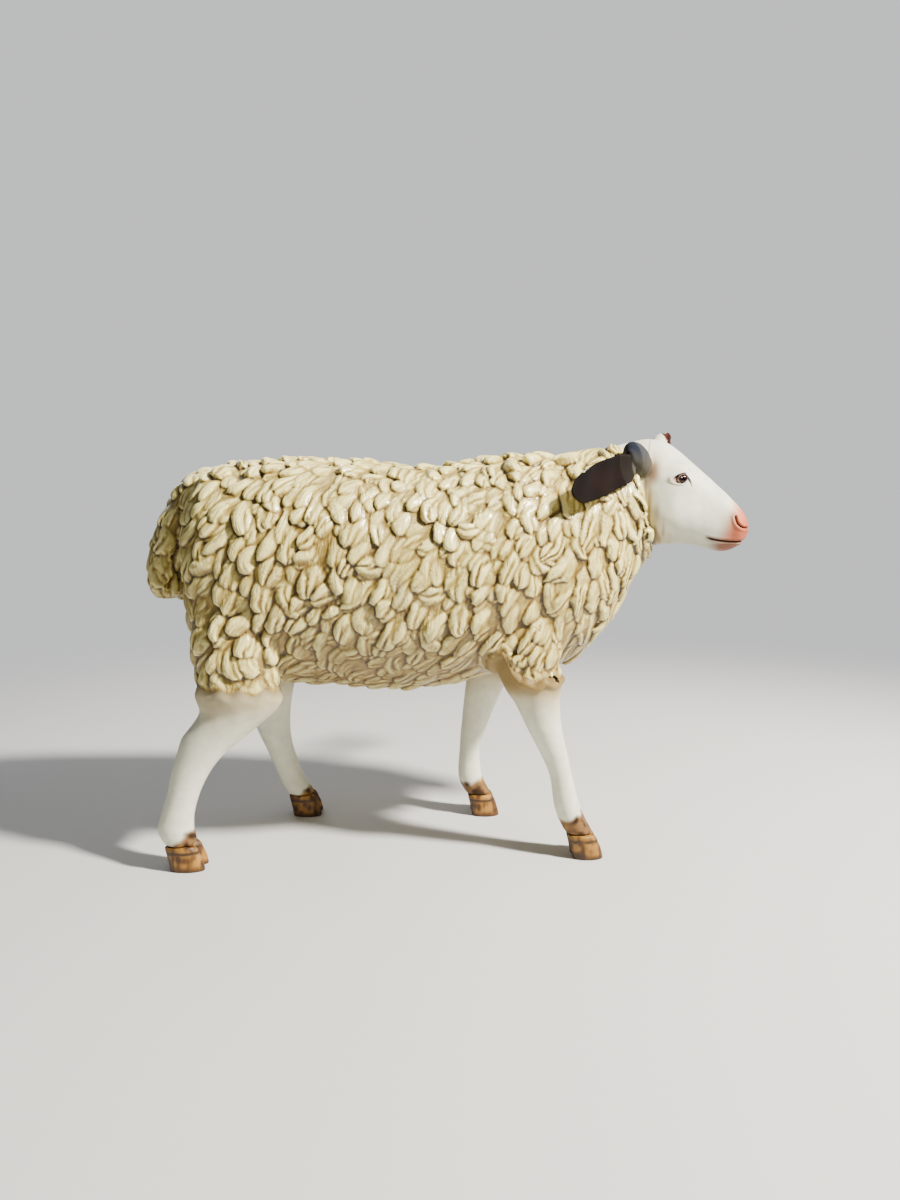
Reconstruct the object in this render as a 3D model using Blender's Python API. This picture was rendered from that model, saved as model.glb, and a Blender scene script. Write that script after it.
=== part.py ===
"""Sheep statue, walking: a moulded and painted glass-fibre garden figure.

Metres, +Z up, hooves on z = 0, the sheep faces +X and its right side is -Y.
The body is lofted through named sections, fused, then divided into its parts.
"""
import math

import bmesh
import bpy
from mathutils import Matrix, Vector

for old in list(bpy.data.objects):
    bpy.data.objects.remove(old, do_unlink=True)

GAP = 0.0003            # clearance between neighbouring parts
BARE_LEG_TOP = 0.317    # level where the fleece ends and the bare leg starts
CORONET = 0.047         # level of the hoof's upper edge
BODY_GRAIN = 0.0065     # grain of the fused body
HEAD_GRAIN = 0.0034     # grain of the fused head
HEAD_PIVOT = Vector((0.405, 0.0, 0.0))
HEAD_YAW = math.radians(-21.0)
EYE_RADIUS = 0.0125


def material(name, colour, roughness):
    mat = bpy.data.materials.new(name)
    mat.use_nodes = True
    shader = mat.node_tree.nodes["Principled BSDF"]
    shader.inputs["Base Color"].default_value = (*colour, 1.0)
    shader.inputs["Roughness"].default_value = roughness
    return mat


def section(top, bottom, half_width, power=2.2, side=Vector((0, 1, 0)), lean=0.0, count=32):
    """One closed ring between a top and a bottom point; lean > 0 widens the lower half."""
    top, bottom = Vector(top), Vector(bottom)
    centre = (top + bottom) / 2
    up = (top - bottom) / 2
    ring = []
    for step in range(count):
        angle = 2 * math.pi * step / count
        across = math.copysign(abs(math.cos(angle)) ** (2 / power), math.cos(angle))
        rise = math.copysign(abs(math.sin(angle)) ** (2 / power), math.sin(angle))
        width = half_width * (1 - lean * rise)
        ring.append(centre + side * (across * width) + up * rise)
    return ring


def loft(name, rings):
    """A closed tube through the rings, each end closed by a face."""
    mesh = bpy.data.meshes.new(name)
    points = [point for ring in rings for point in ring]
    count = len(rings[0])
    faces = []
    for row in range(len(rings) - 1):
        for step in range(count):
            near = row * count + step
            far = row * count + (step + 1) % count
            faces.append((near, far, far + count, near + count))
    faces.append(tuple(reversed(range(count))))
    faces.append(tuple(range(len(points) - count, len(points))))
    mesh.from_pydata([tuple(point) for point in points], [], faces)
    bm = bmesh.new()
    bm.from_mesh(mesh)
    bmesh.ops.recalc_face_normals(bm, faces=bm.faces)
    bm.to_mesh(mesh)
    bm.free()
    thing = bpy.data.objects.new(name, mesh)
    bpy.context.scene.collection.objects.link(thing)
    return thing


def settle(thing):
    """Replace the object's mesh by its modified one and drop the modifiers."""
    bpy.context.view_layer.update()
    shape = thing.evaluated_get(bpy.context.evaluated_depsgraph_get())
    mesh = bpy.data.meshes.new_from_object(shape)
    thing.modifiers.clear()
    thing.data = mesh
    return thing


def fuse(name, things, grain, smoothing):
    """Join overlapping closed tubes into one skin of an even grain."""
    bm = bmesh.new()
    for thing in things:
        bm.from_mesh(thing.data)
        bpy.data.objects.remove(thing, do_unlink=True)
    mesh = bpy.data.meshes.new(name)
    bm.to_mesh(mesh)
    bm.free()
    whole = bpy.data.objects.new(name, mesh)
    bpy.context.scene.collection.objects.link(whole)
    remesh = whole.modifiers.new("fuse", "REMESH")
    remesh.mode = "VOXEL"
    remesh.voxel_size = grain
    relax = whole.modifiers.new("relax", "SMOOTH")
    relax.factor = 0.5
    relax.iterations = smoothing
    return settle(whole)


def thin(thing, triangles):
    """Bring the object down to about this many triangles."""
    faces = sum(len(face.vertices) - 2 for face in thing.data.polygons)
    decimate = thing.modifiers.new("thin", "DECIMATE")
    decimate.ratio = min(1.0, triangles / faces)
    return settle(thing)


def keep_side(source, name, point, normal, offset):
    """A closed copy of the source on the side of a plane its normal points to."""
    normal = Vector(normal).normalized()
    bm = bmesh.new()
    bm.from_mesh(source.data)
    geometry = bm.verts[:] + bm.edges[:] + bm.faces[:]
    cut = bmesh.ops.bisect_plane(bm, geom=geometry, dist=1e-6, plane_co=Vector(point) + normal * offset,
                                 plane_no=normal, clear_inner=True)
    rim = [edge for edge in cut["geom_cut"] if isinstance(edge, bmesh.types.BMEdge)]
    bmesh.ops.holes_fill(bm, edges=rim, sides=0)
    bmesh.ops.triangulate(bm, faces=[face for face in bm.faces if len(face.verts) > 4])
    bmesh.ops.recalc_face_normals(bm, faces=bm.faces)
    mesh = bpy.data.meshes.new(name)
    bm.to_mesh(mesh)
    bm.free()
    piece = bpy.data.objects.new(name, mesh)
    bpy.context.scene.collection.objects.link(piece)
    return piece


def grown(source, name, amount):
    """A hidden copy of the source pushed out along its normals."""
    copy = bpy.data.objects.new(name, source.data.copy())
    bpy.context.scene.collection.objects.link(copy)
    for vertex in copy.data.vertices:
        vertex.co = vertex.co + vertex.normal * amount
    copy.hide_render = True
    copy.display_type = "WIRE"
    return copy


def trim(thing, cutter):
    """Cut the cutter's shape out of the object."""
    boolean = thing.modifiers.new("trim", "BOOLEAN")
    boolean.operation = "DIFFERENCE"
    boolean.solver = "EXACT"
    boolean.object = cutter
    settle(thing)
    bpy.data.objects.remove(cutter, do_unlink=True)
    return thing


def tidy_name(source, name, mat):
    """The finished part: triangles, one material, its own name."""
    bm = bmesh.new()
    bm.from_mesh(source.data)
    bmesh.ops.remove_doubles(bm, verts=bm.verts, dist=2e-5)
    bmesh.ops.dissolve_degenerate(bm, dist=2e-5, edges=bm.edges)
    bmesh.ops.triangulate(bm, faces=bm.faces)
    bmesh.ops.recalc_face_normals(bm, faces=bm.faces)
    bm.to_mesh(source.data)
    bm.free()
    source.name = name
    source.data.name = name
    source.data.materials.clear()
    source.data.materials.append(mat)
    return source


# ---- the fleeced barrel, out to the tips of the locks: x, top, bottom, half width ----
BARREL = (
    (-0.546, 0.690, 0.525, 0.070), (-0.538, 0.738, 0.460, 0.120), (-0.518, 0.772, 0.405, 0.156),
    (-0.478, 0.796, 0.370, 0.183), (-0.400, 0.809, 0.352, 0.202), (-0.300, 0.815, 0.343, 0.212),
    (-0.200, 0.812, 0.333, 0.217), (-0.100, 0.806, 0.328, 0.217), (-0.020, 0.802, 0.336, 0.213),
    (0.060, 0.812, 0.348, 0.206), (0.130, 0.822, 0.362, 0.194), (0.190, 0.816, 0.388, 0.174),
    (0.230, 0.795, 0.430, 0.140), (0.255, 0.745, 0.500, 0.090),
)
barrel = loft("barrel", [section((x, 0, top), (x, 0, low), wide, 2.25) for x, top, low, wide in BARREL])

# ---- the neck, from the shoulder to the collar of locks behind the cheek ----
NECK = (
    ((0.070, 0.800), (0.110, 0.350), 0.180), ((0.160, 0.822), (0.225, 0.368), 0.176),
    ((0.220, 0.818), (0.290, 0.408), 0.160), ((0.280, 0.836), (0.342, 0.472), 0.138),
    ((0.325, 0.846), (0.382, 0.540), 0.116), ((0.352, 0.846), (0.415, 0.596), 0.098),
    ((0.364, 0.836), (0.428, 0.612), 0.090), ((0.370, 0.815), (0.425, 0.632), 0.078),
)
neck = loft("neck", [section((a[0], 0, a[1]), (b[0], 0, b[1]), wide, 2.2) for a, b, wide in NECK])


def leg_rings(stations, y_top, y_foot, z_top):
    """Level rings down a leg: level, middle, half length fore and aft, half width."""
    rings = []
    for level, middle, along, across in stations:
        y = y_foot + (y_top - y_foot) * max(0.0, level / z_top) ** 1.5
        ring = []
        for step in range(24):
            angle = 2 * math.pi * step / 24
            ring.append(Vector((middle + along * math.cos(angle), y + across * math.sin(angle), level)))
        rings.append(ring)
    return rings


# ---- thighs and shoulders keep the fleece; the legs below are bare ----
FORE_RIGHT = (
    (0.560, 0.140, 0.070, 0.040), (0.480, 0.146, 0.078, 0.052), (0.420, 0.150, 0.074, 0.056),
    (0.380, 0.156, 0.066, 0.054), (0.345, 0.162, 0.055, 0.047), (0.317, 0.171, 0.045, 0.040),
    (0.265, 0.186, 0.035, 0.034), (0.205, 0.2085, 0.0265, 0.0275), (0.165, 0.2205, 0.0230, 0.0255),
    (0.112, 0.2315, 0.0265, 0.0275), (0.077, 0.244, 0.0280, 0.0295), (0.058, 0.255, 0.0290, 0.0300),
)
FORE_LEFT = (
    (0.560, 0.130, 0.070, 0.040), (0.480, 0.128, 0.078, 0.052), (0.420, 0.120, 0.074, 0.056),
    (0.380, 0.110, 0.068, 0.054), (0.345, 0.100, 0.058, 0.047), (0.317, 0.091, 0.048, 0.040),
    (0.265, 0.076, 0.038, 0.034), (0.186, 0.057, 0.0265, 0.0275), (0.150, 0.052, 0.0235, 0.0255),
    (0.105, 0.052, 0.0265, 0.0275), (0.077, 0.058, 0.0285, 0.0295), (0.058, 0.068, 0.0290, 0.0300),
)
HIND_RIGHT = (
    (0.620, -0.415, 0.085, 0.045), (0.540, -0.418, 0.100, 0.062), (0.460, -0.421, 0.100, 0.073),
    (0.390, -0.424, 0.0890, 0.070), (0.340, -0.423, 0.0850, 0.060), (0.316, -0.425, 0.0755, 0.052),
    (0.290, -0.447, 0.0680, 0.046), (0.262, -0.475, 0.0620, 0.040), (0.235, -0.4965, 0.0495, 0.036),
    (0.200, -0.5175, 0.0395, 0.0325), (0.155, -0.5345, 0.0325, 0.0300), (0.110, -0.548, 0.0325, 0.0300),
    (0.078, -0.5525, 0.0360, 0.0320), (0.058, -0.545, 0.0330, 0.0320),
)
HIND_LEFT = (
    (0.620, -0.415, 0.085, 0.045), (0.540, -0.416, 0.100, 0.062), (0.460, -0.418, 0.098, 0.073),
    (0.390, -0.420, 0.086, 0.070), (0.340, -0.418, 0.076, 0.060), (0.316, -0.414, 0.067, 0.052),
    (0.270, -0.407, 0.051, 0.043), (0.225, -0.402, 0.042, 0.036), (0.180, -0.392, 0.034, 0.031),
    (0.135, -0.377, 0.0295, 0.0290), (0.100, -0.364, 0.0290, 0.0290), (0.075, -0.353, 0.0310, 0.0310),
    (0.058, -0.342, 0.0320, 0.0320),
)
legs = [
    loft("fore_r", leg_rings(FORE_RIGHT, -0.122, -0.130, 0.56)),
    loft("fore_l", leg_rings(FORE_LEFT, 0.122, 0.130, 0.56)),
    loft("hind_r", leg_rings(HIND_RIGHT, -0.118, -0.150, 0.62)),
    loft("hind_l", leg_rings(HIND_LEFT, 0.118, 0.150, 0.62)),
]


def hoof(name, x, y, scale):
    """A hoof standing flat: level, shift forward, half length, half width."""
    rings = []
    for level, shift, along, across in HOOF:
        along = along * scale
        ring = []
        for step in range(24):
            angle = 2 * math.pi * step / 24
            across_now = across * (1 - 0.16 * math.cos(angle))
            ring.append(Vector((x + shift + along * math.cos(angle), y + across_now * math.sin(angle), level)))
        rings.append(ring)
    return loft(name, rings)


HOOF = (
    (0.0, 0.012, 0.0340, 0.0310), (0.004, 0.012, 0.0355, 0.0325), (0.020, 0.009, 0.0350, 0.0325),
    (0.038, 0.004, 0.0330, 0.0315), (0.050, 0.000, 0.0310, 0.0310), (0.066, -0.006, 0.0290, 0.0300),
)
feet = [
    hoof("foot_fore_r", 0.262, -0.130, 0.90), hoof("foot_fore_l", 0.076, 0.130, 0.90),
    hoof("foot_hind_r", -0.540, -0.150, 1.0), hoof("foot_hind_l", -0.335, 0.150, 0.95),
]

# ---- the head, in its own line: forward, top, bottom, half width, lean ----
HEAD = (
    (-0.060, 0.828, 0.690, 0.060, 0.0), (-0.030, 0.845, 0.664, 0.068, 0.0),
    (0.000, 0.853, 0.640, 0.073, 0.02), (0.026, 0.8525, 0.632, 0.0765, 0.08),
    (0.052, 0.8450, 0.634, 0.0775, 0.14), (0.080, 0.8250, 0.6355, 0.074, 0.16),
    (0.108, 0.8000, 0.6340, 0.065, 0.13), (0.136, 0.7750, 0.627, 0.054, 0.08),
    (0.162, 0.7510, 0.6215, 0.0455, 0.03), (0.184, 0.7295, 0.625, 0.0410, -0.02),
    (0.202, 0.7100, 0.6355, 0.0385, -0.05), (0.2130, 0.6930, 0.6490, 0.0310, -0.08),
    (0.2180, 0.6810, 0.6590, 0.0190, -0.05),
)
skull = loft("skull", [section((h, 0, top), (h, 0, low), wide, 2.3, lean=lean) for h, top, low, wide, lean in HEAD])
turn_head = Matrix.Translation(HEAD_PIVOT) @ Matrix.Rotation(HEAD_YAW, 4, "Z")
skull.data.transform(turn_head)
nape = loft("nape", [section((a[0], 0, a[1]), (b[0], 0, b[1]), wide, 2.2) for a, b, wide in (
    ((0.300, 0.820), (0.350, 0.560), 0.092), ((0.345, 0.838), (0.395, 0.610), 0.082),
    ((0.380, 0.848), (0.425, 0.635), 0.072), ((0.400, 0.850), (0.440, 0.650), 0.064))])

# ---- the ears, leaf blades swept back from a rounded root ----
# along the ear: share of the length, half breadth, half thickness
EAR = (
    (-0.02, 0.0140, 0.0080), (0.06, 0.0260, 0.0100), (0.16, 0.0315, 0.0100), (0.28, 0.0335, 0.0080),
    (0.44, 0.0350, 0.0065), (0.60, 0.0350, 0.0058), (0.75, 0.0335, 0.0052), (0.88, 0.0285, 0.0046),
    (0.96, 0.0205, 0.0038), (1.00, 0.0085, 0.0028),
)


def ear(name, root, tip, upright, opening, skull_point, sink, cupping, lens_size):
    """Leaf blade, cupped to its opening, from a rounded root to a tip; upright is its breadth."""
    root, tip, skull_point = Vector(root), Vector(tip), Vector(skull_point)
    axis = (tip - root).normalized()
    breadth = (upright - axis * upright.dot(axis)).normalized()
    face = axis.cross(breadth).normalized()
    if face.dot(opening) < 0:
        face = -face
    rings = []
    blade_root = root + Vector((0, 0, sink))
    for share, broad, thick in EAR:
        centre = blade_root.lerp(tip, share) + Vector((0, 0, 0.004)) * math.sin(math.pi * share)
        cup = broad * (cupping - 0.20 * max(0.0, share))
        ring = []
        for step in range(48):
            angle = 2 * math.pi * step / 48
            lift = cup * (math.cos(angle) ** 2 - 0.45)
            ring.append(centre + breadth * (broad * math.cos(angle)) + face * (thick * math.sin(angle) + lift))
        rings.append(ring)
    blade = loft(name + "_blade", rings)
    # the rounded root: an upright lens, carried on a short stem from the skull
    stem = (root - skull_point).normalized()
    lens_side = breadth.cross(stem).normalized()
    rings = []
    for share in (0.0, 0.25, 0.5, 0.7, 0.85, 0.95, 1.0):
        swell = 0.62 + 0.38 * math.sin(math.pi * min(1.0, share * 1.15))
        swell = swell * math.sqrt(max(0.02, 1 - max(0.0, (share - 0.6) / 0.4) ** 2))
        centre = skull_point.lerp(root + stem * 0.016, share)
        ring = []
        for step in range(24):
            angle = 2 * math.pi * step / 24
            ring.append(centre + breadth * (lens_size[0] * swell * math.cos(angle))
                        + lens_side * (lens_size[1] * swell * math.sin(angle)))
        rings.append(ring)
    lens = loft(name + "_lens", rings)
    return thin(fuse(name, [blade, lens], 0.0022, 3), 450)


ear_right = ear("ear_right", (0.361, -0.094, 0.811), (0.226, -0.180, 0.739), Vector((0.25, 0.12, 1.0)),
                Vector((0, -1, 0)), (0.398, -0.040, 0.800), -0.015, 0.42, (0.041, 0.027))
ear_left = ear("ear_left", (0.472, 0.084, 0.8555), (0.526, 0.232, 0.799), Vector((0.10, -0.05, 1.0)),
               Vector((1, -0.3, 0)), (0.434, 0.034, 0.822), -0.002, 0.62, (0.028, 0.019))

# ---- the tail, a broad woolly hanging tail with a blunt end ----
TAIL = (
    (0.795, -0.478, 0.026, 0.038), (0.776, -0.508, 0.031, 0.055), (0.740, -0.538, 0.036, 0.066),
    (0.680, -0.565, 0.039, 0.073), (0.620, -0.582, 0.040, 0.076), (0.565, -0.588, 0.037, 0.076),
    (0.538, -0.586, 0.033, 0.071), (0.524, -0.583, 0.022, 0.056),
)
tail = loft("tail", leg_rings(TAIL, 0.0, 0.0, 1.0))

# ---- fuse, thin out, divide ----
body = fuse("body", [barrel, neck] + legs + feet, BODY_GRAIN, 4)
thin(body, 4450)
head = fuse("head_solid", [skull, nape], HEAD_GRAIN, 3)
thin(head, 2150)

fleece = material("fleece paint", (0.72, 0.64, 0.46), 0.45)
white = material("white paint", (0.82, 0.80, 0.72), 0.35)
brown = material("hoof paint", (0.30, 0.19, 0.09), 0.40)
iris = material("eye gloss", (0.05, 0.03, 0.02), 0.10)
red = material("ear paint", (0.22, 0.08, 0.05), 0.40)

# trunk above the bare legs, without the neck
HEAD_CUT = ((0.372, 0.0, 0.74), (0.93, 0.0, 0.34))
NECK_CUT = ((0.215, 0.0, 0.60), (0.985, 0.0, 0.17))
upper = keep_side(body, "upper", (0, 0, BARE_LEG_TOP), (0, 0, 1), GAP / 2)
trunk = keep_side(upper, "trunk_solid", NECK_CUT[0], (-NECK_CUT[1][0], 0, -NECK_CUT[1][2]), GAP / 2)
bpy.data.objects.remove(upper, do_unlink=True)
neck_front = keep_side(body, "neck_solid", NECK_CUT[0], NECK_CUT[1], GAP / 2)
neck_part = keep_side(neck_front, "neck_part", HEAD_CUT[0], (-HEAD_CUT[1][0], 0, -HEAD_CUT[1][2]), GAP / 2)
bpy.data.objects.remove(neck_front, do_unlink=True)
head_part = keep_side(head, "head_part", HEAD_CUT[0], HEAD_CUT[1], GAP / 2)
bpy.data.objects.remove(head, do_unlink=True)

# each leg: the part of the body under the fleece, near its own foot
lower = keep_side(body, "lower", (0, 0, BARE_LEG_TOP), (0, 0, -1), GAP / 2)
bpy.data.objects.remove(body, do_unlink=True)


def leg_of(name, fore, left):
    """One leg of the four, cut from the lower body by two upright planes."""
    half = keep_side(lower, name + "_half", (-0.10, 0, 0), (1 if fore else -1, 0, 0), 0)
    one = keep_side(half, name + "_one", (0, 0, 0), (0, 1 if left else -1, 0), 0)
    bpy.data.objects.remove(half, do_unlink=True)
    shank = keep_side(one, name + "_shank", (0, 0, CORONET), (0, 0, 1), GAP / 2)
    foot = keep_side(one, name + "_foot", (0, 0, CORONET), (0, 0, -1), GAP / 2)
    sole = keep_side(foot, name + "_sole", (0, 0, 0.0012), (0, 0, 1), 0)
    bpy.data.objects.remove(one, do_unlink=True)
    bpy.data.objects.remove(foot, do_unlink=True)
    for vertex in sole.data.vertices:
        if vertex.co.z < 0.0013:
            vertex.co.z = 0.0
    tidy_name(shank, "leg_" + name, white)
    tidy_name(sole, "hoof_" + name, brown)


for name, fore, left in (("fore_right", True, False), ("fore_left", True, True),
                         ("hind_right", False, False), ("hind_left", False, True)):
    leg_of(name, fore, left)
bpy.data.objects.remove(lower, do_unlink=True)

# ears and tail give way to the head and the trunk, the head gives way to the eyes
for part in (ear_left, ear_right):
    trim(part, grown(head_part, "head_grown", GAP))
    trim(part, grown(neck_part, "neck_grown", GAP))
trim(tail, grown(trunk, "trunk_grown", GAP))

EYE_FORWARD, EYE_OUT, EYE_LEVEL = 0.087, 0.0525, 0.769
for name, side in (("eye_left", 1), ("eye_right", -1)):
    bm = bmesh.new()
    place = turn_head @ Matrix.Translation((EYE_FORWARD, side * EYE_OUT, EYE_LEVEL))
    bmesh.ops.create_icosphere(bm, subdivisions=2, radius=EYE_RADIUS, matrix=place)
    mesh = bpy.data.meshes.new(name)
    bm.to_mesh(mesh)
    bm.free()
    ball = bpy.data.objects.new(name, mesh)
    bpy.context.scene.collection.objects.link(ball)
    trim(head_part, grown(ball, name + "_grown", GAP))
    tidy_name(ball, name, iris)

tidy_name(ear_left, "ear_left", red)
tidy_name(ear_right, "ear_right", red)
tidy_name(tail, "tail", fleece)
tidy_name(trunk, "trunk", fleece)
tidy_name(neck_part, "neck", fleece)
tidy_name(head_part, "head", white)

# the row's origin: on the ground, in the middle of the outline seen from above
parts = [thing for thing in bpy.data.objects if thing.type == "MESH" and not thing.hide_render]
corners = [vertex.co for thing in parts for vertex in thing.data.vertices]
middle_x = (min(point.x for point in corners) + max(point.x for point in corners)) / 2
middle_y = (min(point.y for point in corners) + max(point.y for point in corners)) / 2
for thing in parts:
    thing.data.transform(Matrix.Translation((-middle_x, -middle_y, 0.0)))
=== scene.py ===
"""Looks of the sheep statue: one painted skin, eyes, hooves and a coat of carved locks."""

import math
from types import SimpleNamespace

import bmesh
import bpy
import numpy as np
from mathutils import Matrix, Vector, noise
from mathutils.bvhtree import BVHTree
from mathutils.kdtree import KDTree


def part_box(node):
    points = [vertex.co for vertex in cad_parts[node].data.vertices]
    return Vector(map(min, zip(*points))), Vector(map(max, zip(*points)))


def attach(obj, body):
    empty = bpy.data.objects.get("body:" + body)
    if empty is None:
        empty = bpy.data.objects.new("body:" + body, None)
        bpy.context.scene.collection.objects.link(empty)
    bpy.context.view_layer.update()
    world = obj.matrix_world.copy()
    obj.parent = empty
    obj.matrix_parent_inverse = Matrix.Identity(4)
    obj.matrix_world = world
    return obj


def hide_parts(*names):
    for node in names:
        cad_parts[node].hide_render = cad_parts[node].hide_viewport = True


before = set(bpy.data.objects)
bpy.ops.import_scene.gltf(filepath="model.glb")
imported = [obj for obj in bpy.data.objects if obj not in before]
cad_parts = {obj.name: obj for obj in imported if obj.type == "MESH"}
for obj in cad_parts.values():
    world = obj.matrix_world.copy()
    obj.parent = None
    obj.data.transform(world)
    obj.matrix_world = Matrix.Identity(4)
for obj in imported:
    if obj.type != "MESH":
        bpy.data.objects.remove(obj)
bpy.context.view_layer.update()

# ---------------------------------------------------------------- sizes, in metres
COAT_DEPTH = 0.0125
BODY_GRAIN, HEAD_GRAIN, COAT_GRAIN, HOOF_GRAIN = 0.0046, 0.0017, 0.0021, 0.0013     # sizes of the voxels
LOW_GAPS, PROUD_GAPS = (0.0380, 0.0310), (0.0395, 0.0282)      # between locks, along and across their lie
LOW_LENGTH, LOW_HALF_WIDTH = 0.084, 0.0205                     # the low locks between the proud ones
LOBE_WIDTHS = (0.0185, 0.0212, 0.0240)  # half widths of proud locks with one, two and three lobes
GROOVE_DEPTH, BASIN_DEPTH = 0.00031, 0.0018                    # depths at which the wash is dark
MID_LEGS = -0.12                        # x between the fore and the hind legs
HEAD_PIVOT = Vector((0.405, 0.0, 0.0))
HEAD_YAW = math.radians(-21.0)
EYE = (0.087, 0.0525, 0.769)
EYE_RADIUS = 0.0125
FORE_HEM, HIND_HEM = 0.374, 0.354       # levels where the fleece ends on the legs
LIP_HEIGHT = 0.0062                     # how far the moulded lip stands out there
TURN_HEAD = Matrix.Translation(HEAD_PIVOT) @ Matrix.Rotation(HEAD_YAW, 4, "Z")

BARREL = (
    (-0.546, 0.690, 0.525, 0.070), (-0.538, 0.738, 0.460, 0.120), (-0.518, 0.772, 0.405, 0.156),
    (-0.478, 0.796, 0.370, 0.183), (-0.400, 0.809, 0.352, 0.202), (-0.300, 0.815, 0.343, 0.212),
    (-0.200, 0.812, 0.333, 0.217), (-0.100, 0.806, 0.328, 0.217), (-0.020, 0.802, 0.336, 0.213),
    (0.060, 0.812, 0.348, 0.206), (0.130, 0.822, 0.362, 0.194), (0.190, 0.816, 0.388, 0.174),
    (0.230, 0.795, 0.430, 0.140), (0.255, 0.745, 0.500, 0.090),
)
NECK = (
    (0.070, 0.800, 0.110, 0.350, 0.180), (0.160, 0.822, 0.225, 0.368, 0.176),
    (0.220, 0.818, 0.290, 0.408, 0.160), (0.280, 0.836, 0.342, 0.472, 0.138),
    (0.325, 0.846, 0.382, 0.540, 0.116), (0.352, 0.846, 0.415, 0.596, 0.098),
    (0.364, 0.836, 0.428, 0.612, 0.090), (0.370, 0.815, 0.425, 0.632, 0.078),
)
NAPE = (
    (0.300, 0.820, 0.350, 0.560, 0.092), (0.345, 0.838, 0.395, 0.610, 0.082),
    (0.380, 0.848, 0.425, 0.635, 0.072), (0.400, 0.850, 0.440, 0.650, 0.064),
)
LEGS = {
    "fore_right": ((
        (0.560, 0.140, 0.070, 0.040), (0.480, 0.146, 0.078, 0.052), (0.420, 0.150, 0.074, 0.056),
        (0.380, 0.156, 0.066, 0.054), (0.345, 0.162, 0.055, 0.047), (0.317, 0.171, 0.045, 0.040),
        (0.265, 0.186, 0.035, 0.034), (0.205, 0.2085, 0.0265, 0.0275), (0.165, 0.2205, 0.0230, 0.0255),
        (0.112, 0.2315, 0.0265, 0.0275), (0.077, 0.244, 0.0280, 0.0295), (0.050, 0.259, 0.0285, 0.0295)),
        -0.122, -0.130, 0.56),
    "fore_left": ((
        (0.560, 0.130, 0.070, 0.040), (0.480, 0.128, 0.078, 0.052), (0.420, 0.120, 0.074, 0.056),
        (0.380, 0.110, 0.068, 0.054), (0.345, 0.100, 0.058, 0.047), (0.317, 0.091, 0.048, 0.040),
        (0.265, 0.076, 0.038, 0.034), (0.186, 0.057, 0.0265, 0.0275), (0.150, 0.052, 0.0235, 0.0255),
        (0.105, 0.052, 0.0265, 0.0275), (0.077, 0.058, 0.0285, 0.0295), (0.050, 0.073, 0.0285, 0.0295)),
        0.122, 0.130, 0.56),
    "hind_right": ((
        (0.620, -0.415, 0.085, 0.045), (0.540, -0.418, 0.100, 0.062), (0.460, -0.421, 0.100, 0.073),
        (0.390, -0.424, 0.0890, 0.070), (0.340, -0.423, 0.0850, 0.060), (0.316, -0.425, 0.0755, 0.052),
        (0.290, -0.447, 0.0680, 0.046), (0.262, -0.475, 0.0620, 0.040), (0.235, -0.4965, 0.0495, 0.036),
        (0.200, -0.5175, 0.0395, 0.0325), (0.155, -0.5345, 0.0325, 0.0300), (0.110, -0.548, 0.0325, 0.0300),
        (0.078, -0.5525, 0.0360, 0.0320), (0.050, -0.542, 0.0315, 0.0310)),
        -0.118, -0.150, 0.62),
    "hind_left": ((
        (0.620, -0.415, 0.085, 0.045), (0.540, -0.416, 0.100, 0.062), (0.460, -0.418, 0.098, 0.073),
        (0.390, -0.420, 0.086, 0.070), (0.340, -0.418, 0.076, 0.060), (0.316, -0.414, 0.067, 0.052),
        (0.270, -0.407, 0.051, 0.043), (0.225, -0.402, 0.042, 0.036), (0.180, -0.392, 0.034, 0.031),
        (0.135, -0.377, 0.0295, 0.0290), (0.100, -0.364, 0.0290, 0.0290), (0.075, -0.353, 0.0310, 0.0310),
        (0.050, -0.338, 0.0305, 0.0310)),
        0.118, 0.150, 0.62),
}
HOOF_PLACE = {
    "fore_right": (0.262, -0.130, 0.90), "fore_left": (0.076, 0.130, 0.90),
    "hind_right": (-0.540, -0.150, 1.0), "hind_left": (-0.335, 0.150, 0.95),
}
HEAD = (
    (-0.060, 0.828, 0.690, 0.060, 0.0), (-0.030, 0.845, 0.664, 0.068, 0.0),
    (0.000, 0.853, 0.640, 0.073, 0.02), (0.026, 0.8525, 0.632, 0.0765, 0.08),
    (0.052, 0.8450, 0.634, 0.0775, 0.14), (0.080, 0.8250, 0.6355, 0.074, 0.16),
    (0.108, 0.8000, 0.6340, 0.065, 0.13), (0.136, 0.7750, 0.627, 0.054, 0.08),
    (0.162, 0.7510, 0.6215, 0.0455, 0.03), (0.184, 0.7295, 0.625, 0.0410, -0.02),
    (0.202, 0.7100, 0.6355, 0.0385, -0.05), (0.2130, 0.6930, 0.6490, 0.0310, -0.08),
    (0.2180, 0.6810, 0.6590, 0.0190, -0.05),
)
EAR = (
    (-0.02, 0.0140, 0.0070), (0.06, 0.0260, 0.0080), (0.16, 0.0315, 0.0070), (0.28, 0.0335, 0.0058),
    (0.44, 0.0350, 0.0050), (0.60, 0.0350, 0.0046), (0.75, 0.0335, 0.0043), (0.88, 0.0285, 0.0040),
    (0.96, 0.0205, 0.0034), (1.00, 0.0085, 0.0026),
)
EARS = {                                # root, tip, breadth, opening, base in the skull, sink, cupping, lens
    "right": ((0.361, -0.094, 0.811), (0.226, -0.180, 0.739), (0.25, 0.12, 1.0), (0, -1, 0),
              (0.398, -0.040, 0.800), -0.015, 0.42, (0.041, 0.027)),
    "left": ((0.472, 0.084, 0.8555), (0.526, 0.232, 0.799), (0.10, -0.05, 1.0), (1, -0.3, 0),
             (0.434, 0.034, 0.822), -0.002, 0.62, (0.028, 0.019)),
}
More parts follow.
